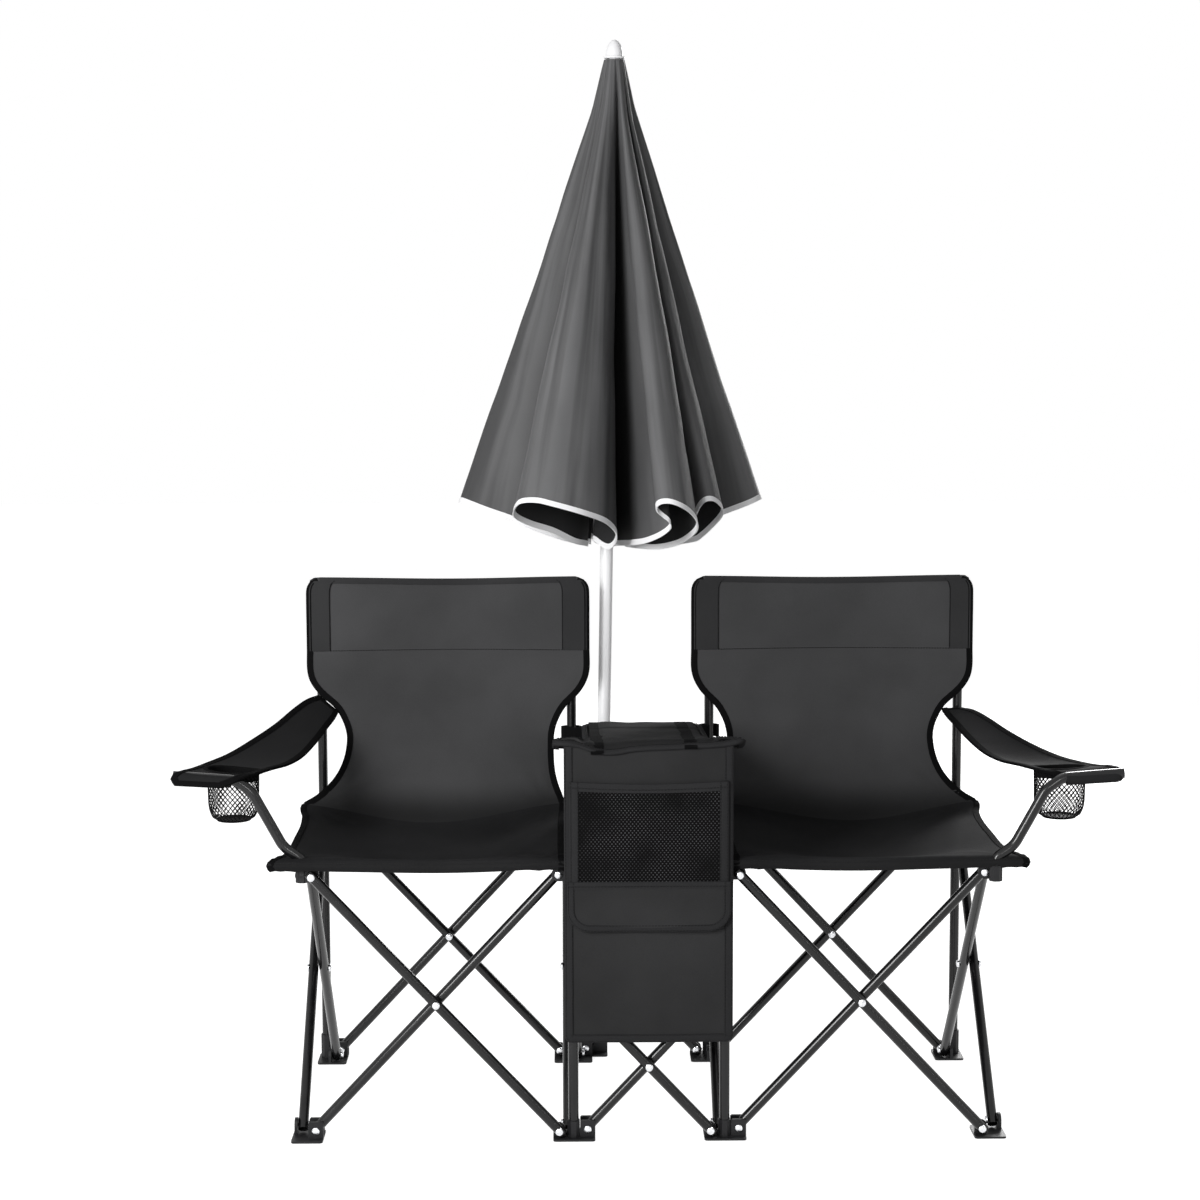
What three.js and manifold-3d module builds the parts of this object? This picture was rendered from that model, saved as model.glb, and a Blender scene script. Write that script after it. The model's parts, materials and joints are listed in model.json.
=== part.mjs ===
// Folding camping loveseat: two quad-fold chairs joined by a console, with an umbrella behind it.
// Millimetres, +Z up. The seats face -Y. The origin is on the ground, under the middle of the whole.
import * as THREE from "three";
import { mergeVertices } from "three/addons/utils/BufferGeometryUtils.js";
import Module from "manifold-3d";

const wasm = await Module();
wasm.setup();

// Steel tubes and the clearances between moving pieces
const tubeR = 8;
const tubeWall = 1;
const tubeSides = 8;
const braceSides = 8;
const crossGap = 1;
const gap = 0.3;
const slideGap = 0.5;
const endMargin = 7.5;
const weld = 0.001;
const over = 4;

// Rivets: a pin fixed in one piece, turning in a hole of the other
const pinR = 2.3;
const pinSides = 6;
const headSides = 8;
const headR = 5.5;
const headT = 2.2;

// The frame: where the pivots, posts and planes lie
const footPivotZ = 15;
const seatPivotZ = 417;
const postX = 117;
const braceInset = 22;
const seatOuterX = 516;
const sideInboard = 28;
const sidePlaneX = 530;
const rearPostX = 540;
const frontPostTop = 588;
const rearPostTop = 824;

// Feet
const footHeight = 29;
const soleT = 3.2;
const soleCorner = 5;
const earT = 4.6;
const openEarR = 9.5;
const boxHalf = 11.6;
const socketWall = 2.2;
const socketRise = 14;
const footEdge = 2;

// Sliding sleeves and corner brackets
const sleeveH = 24;
const sleeveWall = 2.2;
const strapR = 10.4;

// Bent arm posts
const armPostX = 532;
const armBendZ = 441;
const armBend = 8;
const armKneeX = 560;
const armKneeZ = 460;
const armElbowX = 607;
const armElbowZ = 546;
const armShoulderX = 632;
const armShoulderZ = 564;
const armTipX = 726;
const armTipZ = 571;

// Seat and back sling
const clothT = 3.6;
const seatZ = 433;
const seatFrontY = -13;
const seatSag = 20;
const seatFrontDip = 5;
const creaseY = 345;
const seatCornerX = 583;
const seatSideX = 565;
const seatInnerX = 129;
const backTipX = 574;
const backTipZ = 448;
const backWaistX = 503;
const backWaistZ = 557;
const backWideX = 562;
const backWideZ = 677;
const backInnerX = 87;
const backWaistInnerX = 148;
const backTop = 833;
const backCorner = 22;
const backSag = 16;
const backLean = 8;
const sleeveR = 11;
const backSleeveBottom = 712;
const slingInset = 2;
const slingAcross = 8;
const eyeletR = 11;

// Armrests with a cup hole and a net cup
const armRestT = 5;
const armRestFrontY = -6;
const armRestFrontOutX = 713;
const armRestFrontOutZ = 582;
const armRestFrontInX = 648;
const armRestFrontInZ = 577;
const armRestRearOutX = 556;
const armRestRearOutZ = 629;
const armRestRearInX = 526;
const armRestRearInZ = 604;
const cupX = 645;
const cupY = 62;
const cupR = 41;
const cupDepth = 76;
const cupWall = 2.4;
const cupFloorR = 35;
const cupSides = 12;

// Console: bag with front panel and pocket, lid with two bands
const panelX = 129;
const panelT = 4;
const panelY = -24;
const panelBottom = 160;
const bagX = 94;
const bagRearY = 390;
const bagBottom = 236;
const bagWall = 4;
const panelCorner = 6;
const loopH = 24;
const loopFront = 564;
const loopRear = 552;
const pocketX = 121;
const pocketT = 2.5;
const pocketTop = 551;
const pocketFlapZ = 410;
const pocketBottom = 334;
const pocketCorner = 34;
const lidX = 148;
const lidFrontY = -32;
const lidRearY = 372;
const lidFrontZ = 608;
const lidRearZ = 590;
const lidT = 8;
const lidCorner = 14;
const bandX = 69;
const bandW = 20;
const bandT = 1.5;

// Umbrella
const poleFootX = 71.6;
const poleBack = 33;
const poleLean = 0.0181;
const poleR = 11;
const poleWall = 1.2;
const poleSides = 12;
const poleFootZ = 4;
const poleJointZ = 890;
const poleOverlap = 60;
const polePlay = 0.4;
const poleTop = 1706;
const umbrellaSocketH = 46;
const umbrellaSocketWall = 3.4;
const finialFlangeR = 18;
const finialDomeR = 14.5;
const finialGrip = 10;
const finialFlangeT = 3;
const finialDomeH = 28;
const ribCount = 8;
const ribT = 3;
const ribTopDrop = 20;
const ribTopR = 15.5;
const ribTipZ = 902;
const ribTipR = 24;
const hubR = 16;
const hubH = 14;
const runnerZ = 905;
const runnerH = 34;
const runnerR = 15;
const stretcherT = 2.4;
const stretcherR = 14.2;
const stretcherTop = 1290;
const canopyTopDrop = 2;
const canopyTopR = 19;
const canopyT = 1.6;
const canopyReach = 250;
const canopyHemTip = 964;
const canopyHemValley = 900;
const canopyRows = 6;
const canopyPerLobe = 6;
const canopySwirlShare = 0.16;

// Sizes that follow from the ones above
const crossOff = tubeR + crossGap / 2;
const braceInnerX = postX + braceInset;
const centreX = postX - braceInset;
const seatSpan = seatOuterX - braceInnerX;
const seatRise = seatPivotZ - footPivotZ;
const centreSpan = 2 * centreX;
const centrePivotZ = footPivotZ + (centreSpan * seatRise) / seatSpan;
const rearY = seatSpan + 2 * sideInboard;
const poleY = rearY + poleBack;
const finialBase = poleTop - finialGrip;
const ribTopZ = finialBase - ribTopDrop;
const canopyTop = finialBase - canopyTopDrop;
const endSweep = Math.hypot(endMargin, tubeR) + gap;
const socketR = tubeR + gap + socketWall;
const sliderR = tubeR + slideGap + sleeveWall;
const armPlane = crossOff;
const postFront = rearY - tubeR - clothT;
const armRestRearY = postFront - clothT / 2 - 3 * gap;

const black = { color: 0x141416, roughness: 0.35, metalness: 0.4 };
const plastic = { color: 0x17171a, roughness: 0.55, metalness: 0 };
const cloth = { color: 0x2a2a2e, roughness: 0.95, metalness: 0 };
const white = { color: 0xe9e9ea, roughness: 0.35, metalness: 0 };
const canopyCloth = { color: 0x3c3d42, roughness: 0.9, metalness: 0 };

const group = new THREE.Group();
const V = (x, y, z) => new THREE.Vector3(x, y, z);
const X = V(1, 0, 0);
const Y = V(0, 1, 0);
const Z = V(0, 0, 1);

// A closed geometry as a solid that can be joined and cut, and back to a named mesh
function solid(geometry) {
  const flat = geometry.index ? geometry.toNonIndexed() : geometry;
  const bare = new THREE.BufferGeometry().setAttribute("position", flat.getAttribute("position"));
  const whole = mergeVertices(bare, weld);
  return new wasm.Manifold(
    new wasm.Mesh({
      numProp: 3,
      vertProperties: whole.attributes.position.array,
      triVerts: new Uint32Array(whole.index.array),
    }),
  );
}

function addMesh(name, body, look, parent = group) {
  const made = body.getMesh();
  const geometry = new THREE.BufferGeometry()
    .setAttribute("position", new THREE.BufferAttribute(made.vertProperties, 3))
    .setIndex(new THREE.BufferAttribute(made.triVerts, 1));
  geometry.computeVertexNormals();
  const mesh = new THREE.Mesh(geometry, new THREE.MeshStandardMaterial(look));
  mesh.name = name;
  parent.add(mesh);
  return mesh;
}

const join = (...bodies) => bodies.flat().reduce((a, b) => a.add(b));
const cut = (body, ...tools) => tools.flat().reduce((a, b) => a.subtract(b), body);

function box([x0, x1], [y0, y1], [z0, z1]) {
  const g = new THREE.BoxGeometry(x1 - x0, y1 - y0, z1 - z0);
  return solid(g.translate((x0 + x1) / 2, (y0 + y1) / 2, (z0 + z1) / 2));
}

// A round bar between two points, with one of its flats facing the given way
function rod(radius, from, to, sides = tubeSides, facing = null) {
  const along = to.clone().sub(from);
  const length = along.length();
  along.normalize();
  const flat = (facing ?? (Math.abs(along.z) > Math.abs(along.y) ? Y : Z)).clone();
  flat.addScaledVector(along, -flat.dot(along)).normalize();
  const g = new THREE.CylinderGeometry(radius, radius, length, sides, 1, false, Math.PI / sides);
  g.applyMatrix4(new THREE.Matrix4().makeBasis(along.clone().cross(flat), along, flat));
  return solid(g.translate(...from.clone().add(to).multiplyScalar(1 / 2).toArray()));
}

// A bar whose flats, not its corners, stand at the given radius
const roomyRod = (radius, from, to, sides, facing) =>
  rod(radius / Math.cos(Math.PI / sides), from, to, sides, facing);

// A straight open tube
function pipe(radius, wall, from, to, sides = tubeSides, facing = null) {
  const step = to.clone().sub(from).normalize().multiplyScalar(over);
  return cut(
    rod(radius, from, to, sides, facing),
    rod(radius - wall, from.clone().sub(step), to.clone().add(step), sides, facing),
  );
}

// An outline drawn across an axis (x sideways or y forwards, z up) and given a thickness along it
function slab(shape, axis, start, thickness, segments = 4) {
  const g = new THREE.ExtrudeGeometry(shape, {
    depth: thickness,
    bevelEnabled: false,
    curveSegments: segments,
  });
  const turn = new THREE.Matrix4();
  if (axis === X) turn.makeBasis(V(0, 1, 0), V(0, 0, 1), V(1, 0, 0));
  else turn.makeBasis(V(1, 0, 0), V(0, 0, 1), V(0, -1, 0));
  g.applyMatrix4(turn);
  const shift = axis === X ? V(start, 0, 0) : V(0, start + thickness, 0);
  return solid(g.translate(shift.x, shift.y, 0));
}

// The outline of a strap with round ends between two points
function strapShape([h0, z0], [h1, z1], r) {
  const turn = Math.atan2(z1 - z0, h1 - h0);
  const shape = new THREE.Shape();
  shape.absarc(h1, z1, r, turn - Math.PI / 2, turn + Math.PI / 2);
  shape.absarc(h0, z0, r, turn + Math.PI / 2, turn + (3 * Math.PI) / 2);
  return shape;
}

// The outline of an upright ear that stands on the ground, round at the top
function earShape(h, z, r) {
  const shape = new THREE.Shape();
  shape.moveTo(h - r, 0);
  shape.lineTo(h + r, 0);
  shape.absarc(h, z, r, 0, Math.PI);
  return shape;
}

// An upright block that stands on the ground, with bevelled upper corners
function blockShape(x0, x1, height, bevel) {
  const corners = [
    [x0, 0],
    [x1, 0],
    [x1, height - bevel],
    [x1 - bevel, height],
    [x0 + bevel, height],
    [x0, height - bevel],
  ];
  return new THREE.Shape(corners.map(([h, z]) => new THREE.Vector2(h, z)));
}

function roundedRect(x0, x1, y0, y1, r) {
  const s = new THREE.Shape();
  s.absarc(x1 - r, y0 + r, r, -Math.PI / 2, 0);
  s.absarc(x1 - r, y1 - r, r, 0, Math.PI / 2);
  s.absarc(x0 + r, y1 - r, r, Math.PI / 2, Math.PI);
  s.absarc(x0 + r, y0 + r, r, Math.PI, (3 * Math.PI) / 2);
  return s;
}

// A flat slab lying on its face, from a plan outline
function lying(shape, z, thickness, segments = 2) {
  const g = new THREE.ExtrudeGeometry(shape, {
    depth: thickness,
    bevelEnabled: false,
    curveSegments: segments,
  });
  return solid(g.translate(0, 0, z));
}

// A rivet: its pin runs from the piece that holds it through the tube and ends in a head
function rivet(axis, at, from, to, headAt) {
  const point = (s) => at.clone().addScaledVector(axis, s);
  const away = Math.sign(headAt - from);
  return join(
    rod(pinR, point(from), point(to), pinSides),
    rod(headR, point(headAt), point(headAt + away * headT), headSides),
  );
}

// Braces. Each has a hole at both ends. Of a crossing pair one carries the middle rivet
// and the other a hole for it. pinWay is the direction of that rivet, or 0 for a hole.
function brace(name, from, to, axis, pinWay) {
  const along = to.clone().sub(from).normalize();
  const a = from.clone().addScaledVector(along, -endMargin);
  const b = to.clone().addScaledVector(along, endMargin);
  const middle = from.clone().add(to).multiplyScalar(1 / 2);
  const across = along.clone().cross(axis);
  const through = (p) =>
    roomyRod(
      pinR + gap,
      p.clone().addScaledVector(axis, -tubeR - over),
      p.clone().addScaledVector(axis, tubeR + over),
      pinSides,
      across,
    );
  let body = cut(pipe(tubeR, tubeWall, a, b, braceSides, axis), through(from), through(to));
  if (pinWay === 0) body = cut(body, through(middle));
  else {
    const far = 3 * tubeR + crossGap + gap;
    const flat = tubeR * Math.cos(Math.PI / braceSides);
    const spot = (s) => middle.clone().addScaledVector(axis, pinWay * s);
    body = join(
      body,
      rod(pinR, spot(-tubeR), spot(far + headT / 2), pinSides, across),
      rod(headR, spot(far), spot(far + headT), headSides, along),
      rod(headR, spot(-tubeR - headT), spot(gap - flat), headSides, along),
    );
  }
  addMesh(name, body, black);
}

// A seat or centre pair in an upright plane across the chair: the one that falls to the right is in front
function crossPair(fallName, riseName, plane, x0, x1, topZ) {
  brace(fallName, V(x1, plane - crossOff, footPivotZ), V(x0, plane - crossOff, topZ), Y, 1);
  brace(riseName, V(x0, plane + crossOff, footPivotZ), V(x1, plane + crossOff, topZ), Y, 0);
}

// A side pair, front to rear: the one that rises to the rear, and the one that rises to the front
function sidePair(backName, foreName, backX, foreX) {
  const front = sideInboard;
  const rear = rearY - sideInboard;
  const way = Math.sign(foreX - backX);
  brace(backName, V(backX, front, footPivotZ), V(backX, rear, seatPivotZ), X, way);
  brace(foreName, V(foreX, rear, footPivotZ), V(foreX, front, seatPivotZ), X, 0);
}

// Room for a tube's end to turn on its pivot
function sweep(axis, at) {
  return roomyRod(
    endSweep,
    at.clone().addScaledVector(axis, -tubeR - gap),
    at.clone().addScaledVector(axis, tubeR + gap),
    2 * headSides,
  );
}

// What holds a brace of a cross pair at its pivot: a plate beside the tube and a rivet.
// rises is true for the tube that rises to the right, which lies behind the plane.
function crossHold(x, z, plane, rises, outline, boxed, flush = false) {
  const y = plane + (rises ? crossOff : -crossOff);
  const at = V(x, y, z);
  const side = tubeR + gap;
  const plates = [];
  if (rises || boxed) plates.push(slab(outline, Y, y - side - earT, earT));
  if (!rises || boxed) plates.push(slab(outline, Y, y + side, earT));
  const way = rises ? 1 : -1;
  const stop = boxed ? side + earT / 2 : side + headT;
  const plain = boxed || flush;
  const pin = plain
    ? rod(
        pinR,
        at.clone().setY(y - way * (side + earT / 2)),
        at.clone().setY(y + way * (boxed ? stop : tubeR)),
        pinSides,
      )
    : rivet(Y, at, -way * (side + earT / 2), way * stop, way * side);
  const showY = y - side - earT;
  const face =
    rises || boxed
      ? rod(headR, V(x, showY - headT, z), V(x, showY + headT, z), headSides)
      : pin;
  return { plates, room: sweep(Y, at), pins: [pin, face] };
}

// The same for a side brace; ear is the side, -1 or +1, on which the plate stands
function sideHold(x, y, z, ear, outline) {
  const at = V(x, y, z);
  const side = tubeR + gap;
  const start = ear > 0 ? x + side : x - side - earT;
  return {
    plates: [slab(outline, X, start, earT)],
    room: sweep(X, at),
    pins: [rivet(X, at, ear * (side + earT / 2), -ear * (side + headT), -ear * side)],
  };
}

// Moulded feet. way is +1 at the front and -1 at the rear: the side brace stands inboard of the plane.
function foot(name, { plane, way, x, holds, post, side, socket }) {
  const made = holds.map((h) => {
    const boxed = h.boxed;
    const outline = boxed
      ? blockShape(h.x - boxHalf, h.x + boxHalf, footHeight, footEdge)
      : earShape(h.x, footPivotZ, openEarR);
    return crossHold(h.x, footPivotZ, plane, h.rises, outline, boxed, h.flush);
  });
  const sideY = plane + way * sideInboard;
  made.push(
    sideHold(side.x, sideY, footPivotZ, side.ear, earShape(sideY, footPivotZ, openEarR + footEdge)),
  );
  const outerY = plane - way * (crossOff + tubeR + gap + earT / 2);
  const innerY = sideY + way * (openEarR + footEdge);
  const [y0, y1] = way > 0 ? [outerY, innerY] : [innerY, outerY];
  let body = join(
    lying(roundedRect(x[0], x[1], y0, y1, soleCorner), 0, soleT),
    made.flatMap((m) => m.plates),
  );
  const tools = [];
  if (post) {
    const top = footHeight + post.rise;
    body = join(body, rod(socketR, V(post.x, plane, 0), V(post.x, plane, top), tubeSides));
    tools.push(rod(tubeR + gap, V(post.x, plane, soleT), V(post.x, plane, top + over), tubeSides));
  }
  if (socket) {
    const r = poleR + gap + umbrellaSocketWall;
    const px = -poleFootX;
    body = join(
      body,
      rod(r, V(px, poleY, 0), V(px, poleY, umbrellaSocketH), poleSides),
      lying(roundedRect(px - r, px + r, plane + way * soleCorner, poleY + r, soleCorner), 0, soleT),
      box([px - r, px + r], [plane + crossOff + tubeR + gap, poleY], [0, footHeight]),
    );
    const bore = rod(poleR + gap, V(0, 0, poleFootZ - gap), V(0, 0, 2 * umbrellaSocketH), poleSides);
    tools.push(
      bore.rotate([0, THREE.MathUtils.radToDeg(Math.atan(poleLean)), 0]).translate([px, poleY, 0]),
    );
  }
  if (tools.length) body = cut(body, tools);
  addMesh(name, join(body, made.flatMap((m) => m.pins)), plastic);
}

const innerHolds = (sign) => [
  { x: sign * postX - braceInset, rises: false, boxed: false },
  { x: sign * postX + braceInset, rises: true, boxed: true },
];
for (const sign of [-1, 1]) {
  const word = sign < 0 ? "left" : "right";
  const backX = sign * postX - crossOff;
  const foreX = sign * postX + crossOff;
  const span = [sign * postX - braceInset - openEarR, sign * postX + braceInset + boxHalf];
  foot(`foot_front_inner_${word}`, {
    plane: 0,
    way: 1,
    x: span,
    holds: innerHolds(sign),
    post: { x: sign * postX, rise: 0 },
    side: { x: backX, ear: 1 },
  });
  foot(`foot_rear_inner_${word}`, {
    plane: rearY,
    way: -1,
    x: span,
    holds: innerHolds(sign),
    post: { x: sign * postX, rise: 0 },
    side: { x: foreX, ear: -1 },
    socket: sign < 0,
  });
  const rises = sign < 0;
  const outer = sign * (sidePlaneX + crossOff);
  const inner = sign * (sidePlaneX - crossOff);
  const edgeOut = sign * (sidePlaneX + crossOff + tubeR + gap + earT + footEdge);
  const edgeIn = sign * (seatOuterX - boxHalf);
  foot(`foot_front_outer_${word}`, {
    plane: 0,
    way: 1,
    x: [Math.min(edgeOut, edgeIn), Math.max(edgeOut, edgeIn)],
    holds: [{ x: sign * seatOuterX, rises, boxed: rises }],
    side: { x: outer, ear: sign },
  });
  foot(`foot_rear_outer_${word}`, {
    plane: rearY,
    way: -1,
    x: [Math.min(edgeOut, edgeIn), Math.max(edgeOut, edgeIn)],
    holds: [{ x: sign * seatOuterX, rises, boxed: rises, flush: !rises }],
    post: { x: sign * rearPostX, rise: socketRise },
    side: { x: inner, ear: sign },
  });
}

// Posts
const post = (name, x, y, top) =>
  addMesh(name, pipe(tubeR, tubeWall, V(x, y, soleT + gap), V(x, y, top)), black);
post("post_front_left", -postX, 0, frontPostTop);
post("post_front_right", postX, 0, frontPostTop);
post("post_rear_inner_left", -postX, rearY, rearPostTop);
post("post_rear_inner_right", postX, rearY, rearPostTop);
post("post_rear_outer_left", -rearPostX, rearY, rearPostTop);
post("post_rear_outer_right", rearPostX, rearY, rearPostTop);

// Crossed braces
crossPair("brace_left_front_a", "brace_left_front_b", 0, -seatOuterX, -braceInnerX, seatPivotZ);
crossPair("brace_left_rear_a", "brace_left_rear_b", rearY, -seatOuterX, -braceInnerX, seatPivotZ);
crossPair("brace_right_front_a", "brace_right_front_b", 0, braceInnerX, seatOuterX, seatPivotZ);
crossPair("brace_right_rear_a", "brace_right_rear_b", rearY, braceInnerX, seatOuterX, seatPivotZ);
crossPair("brace_centre_front_a", "brace_centre_front_b", 0, -centreX, centreX, centrePivotZ);
crossPair("brace_centre_rear_a", "brace_centre_rear_b", rearY, -centreX, centreX, centrePivotZ);
for (const sign of [-1, 1]) {
  const word = sign < 0 ? "left" : "right";
  sidePair(
    `brace_${word}_outer_a`,
    `brace_${word}_outer_b`,
    sign * (sidePlaneX + crossOff),
    sign * (sidePlaneX - crossOff),
  );
  sidePair(
    `brace_${word}_inner_a`,
    `brace_${word}_inner_b`,
    sign * postX - crossOff,
    sign * postX + crossOff,
  );
}

// Sleeves that slide on the posts and carry the tops of the braces
function slider(name, { x, plane, z, hold, side }) {
  const made = [];
  const outline = strapShape([hold.x, z], [x, z], strapR);
  made.push(crossHold(hold.x, z, plane, hold.rises, outline, false));
  if (side) {
    const sideOutline = strapShape([side.y, z], [plane, z], strapR);
    made.push(sideHold(side.x, side.y, z, side.ear, sideOutline));
  }
  const low = z - sleeveH / 2;
  const high = z + sleeveH / 2;
  let body = join(
    rod(sliderR, V(x, plane, low), V(x, plane, high), tubeSides),
    made.flatMap((m) => m.plates),
  );
  body = cut(body, rod(tubeR + slideGap, V(x, plane, low - over), V(x, plane, high + over), tubeSides));
  addMesh(name, join(body, made.flatMap((m) => m.pins)), plastic);
}

for (const sign of [-1, 1]) {
  const word = sign < 0 ? "left" : "right";
  const rises = sign < 0;
  const rearSideY = rearY - sideInboard;
  const seatHold = { x: sign * braceInnerX, rises };
  const centreHold = { x: sign * centreX, rises: !rises };
  const x = sign * postX;
  slider(`slider_front_${word}`, {
    x,
    plane: 0,
    z: seatPivotZ,
    hold: seatHold,
    side: { x: x + crossOff, y: sideInboard, ear: -1 },
  });
  slider(`slider_rear_inner_${word}`, {
    x,
    plane: rearY,
    z: seatPivotZ,
    hold: seatHold,
    side: { x: x - crossOff, y: rearSideY, ear: 1 },
  });
  slider(`slider_rear_outer_${word}`, {
    x: sign * rearPostX,
    plane: rearY,
    z: seatPivotZ,
    hold: { x: sign * seatOuterX, rises: !rises },
    side: { x: sign * (sidePlaneX + crossOff), y: rearSideY, ear: sign },
  });
  slider(`slider_centre_front_${word}`, { x, plane: 0, z: centrePivotZ, hold: centreHold });
  slider(`slider_centre_rear_${word}`, { x, plane: rearY, z: centrePivotZ, hold: centreHold });
}

// Corner brackets and the bent arm posts that stand in them
const armY = (sign) => (sign < 0 ? armPlane : -armPlane);
function bracket(name, sign) {
  const rises = sign > 0;
  const z = seatPivotZ;
  const x = sign * armPostX;
  const y = armY(sign);
  const outline = strapShape([sign * seatOuterX, z], [x, z], strapR);
  const hold = crossHold(sign * seatOuterX, z, 0, rises, outline, false, rises);
  const foreX = sign * (sidePlaneX - crossOff);
  const ear = strapShape([sideInboard, z], [Math.abs(y), z], strapR);
  const side = sideHold(foreX, sideInboard, z, sign, ear);
  const low = z - sleeveH / 2;
  const high = z + sleeveH / 2;
  let body = join(rod(socketR, V(x, y, low), V(x, y, high), tubeSides), hold.plates, side.plates);
  body = cut(
    body,
    hold.room,
    side.room,
    roomyRod(tubeR + gap, V(x, y, low + soleT), V(x, y, high + over), 2 * headSides),
  );
  addMesh(name, join(body, hold.pins, side.pins), plastic);
}

// A path whose listed stations are exactly where a swept tube gets its rings
class StationPath extends THREE.Curve {
  constructor(stations) {
    super();
    this.stations = stations;
  }
  getPoint(t) {
    const last = this.stations.length - 1;
    const i = THREE.MathUtils.clamp(Math.floor(t * last + weld), 0, last - 1);
    return this.stations[i].clone().lerp(this.stations[i + 1], t * last - i);
  }
  getPointAt(t) {
    return this.getPoint(t);
  }
  getTangentAt(t) {
    const last = this.stations.length - 1;
    const i = Math.round(t * last);
    const way = (j) => this.stations[j + 1].clone().sub(this.stations[j]).normalize();
    return way(Math.max(i - 1, 0)).add(way(Math.min(i, last - 1))).normalize();
  }
}

// Straight runs between the points, with each corner rounded over the given length
function roundedRun(points, bend) {
  const stations = [points[0]];
  for (let i = 1; i < points.length - 1; i += 1) {
    const into = points[i - 1].clone().sub(points[i]).setLength(bend).add(points[i]);
    const outOf = points[i + 1].clone().sub(points[i]).setLength(bend).add(points[i]);
    const arc = new THREE.QuadraticBezierCurve3(into, points[i], outOf);
    stations.push(into, arc.getPoint(1 / 2), outOf);
  }
  return new StationPath([...stations, points[points.length - 1]]);
}

const armPostEnd = (sign) => [
  V(sign * armShoulderX, armY(sign), armShoulderZ),
  V(sign * armTipX, armY(sign), armTipZ),
];
function armPost(name, sign) {
  const y = armY(sign);
  const path = roundedRun(
    [
      V(sign * armPostX, y, seatPivotZ - sleeveH / 2 + soleT + gap),
      V(sign * armPostX, y, armBendZ),
      V(sign * armKneeX, y, armKneeZ),
      V(sign * armElbowX, y, armElbowZ),
      ...armPostEnd(sign),
    ],
    armBend,
  );
  const ring = new THREE.Shape().absarc(0, 0, tubeR, 0, 2 * Math.PI);
  ring.holes.push(new THREE.Path().absarc(0, 0, tubeR - tubeWall, 0, 2 * Math.PI, true));
  const g = new THREE.ExtrudeGeometry(ring, {
    steps: path.stations.length - 1,
    curveSegments: braceSides / 2,
    extrudePath: path,
  });
  addMesh(name, solid(g), black);
}
for (const sign of [-1, 1]) {
  const word = sign < 0 ? "left" : "right";
  bracket(`bracket_front_${word}`, sign);
  armPost(`arm_post_${word}`, sign);
}

// A cloth sheet over a grid of points, with a thickness along its own normal
function sheet(columns, rows, at, thickness) {
  const points = [];
  for (let j = 0; j <= rows; j += 1)
    for (let i = 0; i <= columns; i += 1) points.push(at(i / columns, j / rows));
  const index = (i, j) => j * (columns + 1) + i;
  const within = (i, last) => THREE.MathUtils.clamp(i, 0, last);
  const pick = (i, j) => points[index(within(i, columns), within(j, rows))];
  const positions = [];
  for (const side of [1, -1])
    for (let j = 0; j <= rows; j += 1)
      for (let i = 0; i <= columns; i += 1) {
        const du = pick(i + 1, j).clone().sub(pick(i - 1, j));
        const dv = pick(i, j + 1).clone().sub(pick(i, j - 1));
        const n = du.cross(dv).setLength((side * thickness) / 2);
        positions.push(...points[index(i, j)].clone().add(n).toArray());
      }
  const under = points.length;
  const faces = [];
  const quad = (a, b, c, d) => faces.push(a, b, c, a, c, d);
  for (let j = 0; j < rows; j += 1)
    for (let i = 0; i < columns; i += 1) {
      const [a, b, c, d] = [index(i, j), index(i + 1, j), index(i + 1, j + 1), index(i, j + 1)];
      quad(a, b, c, d);
      quad(under + a, under + d, under + c, under + b);
    }
  for (let i = 0; i < columns; i += 1) {
    const [a, b] = [index(i, 0), index(i + 1, 0)];
    quad(b, a, under + a, under + b);
    const [c, d] = [index(i, rows), index(i + 1, rows)];
    quad(c, d, under + d, under + c);
  }
  for (let j = 0; j < rows; j += 1) {
    const [a, b] = [index(0, j), index(0, j + 1)];
    quad(a, b, under + b, under + a);
    const [c, d] = [index(columns, j), index(columns, j + 1)];
    quad(d, c, under + c, under + d);
  }
  const g = new THREE.BufferGeometry();
  g.setAttribute("position", new THREE.Float32BufferAttribute(positions, 3));
  g.setIndex(faces);
  return solid(g);
}

// Slings: stations from the front of the seat over the crease to the top of the back.
// edge is the height and depth at the two sides, middle those halfway across.
const seatStations = [
  {
    out: seatCornerX,
    inn: seatInnerX,
    edge: [seatFrontY, seatZ],
    middle: [seatFrontY, seatZ - seatFrontDip],
  },
  { share: 0.12, out: seatSideX, dipShare: 0.7 },
  { share: 0.3, out: seatSideX, dipShare: 1 },
  { share: 0.5, out: seatSideX, dipShare: 1 },
  { share: 0.72, out: seatSideX, dipShare: 0.85 },
  { share: 0.9, out: (seatSideX + backTipX) / 2, dipShare: 0.6 },
].map((s) =>
  s.edge
    ? s
    : {
        out: s.out,
        inn: seatInnerX + slingInset,
        edge: [seatFrontY + s.share * (postFront - seatFrontY), seatZ],
        middle: [seatFrontY + s.share * (creaseY - seatFrontY), seatZ - s.dipShare * seatSag],
      },
);
const halfway = (a, b) => (a + b) / 2;
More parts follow.
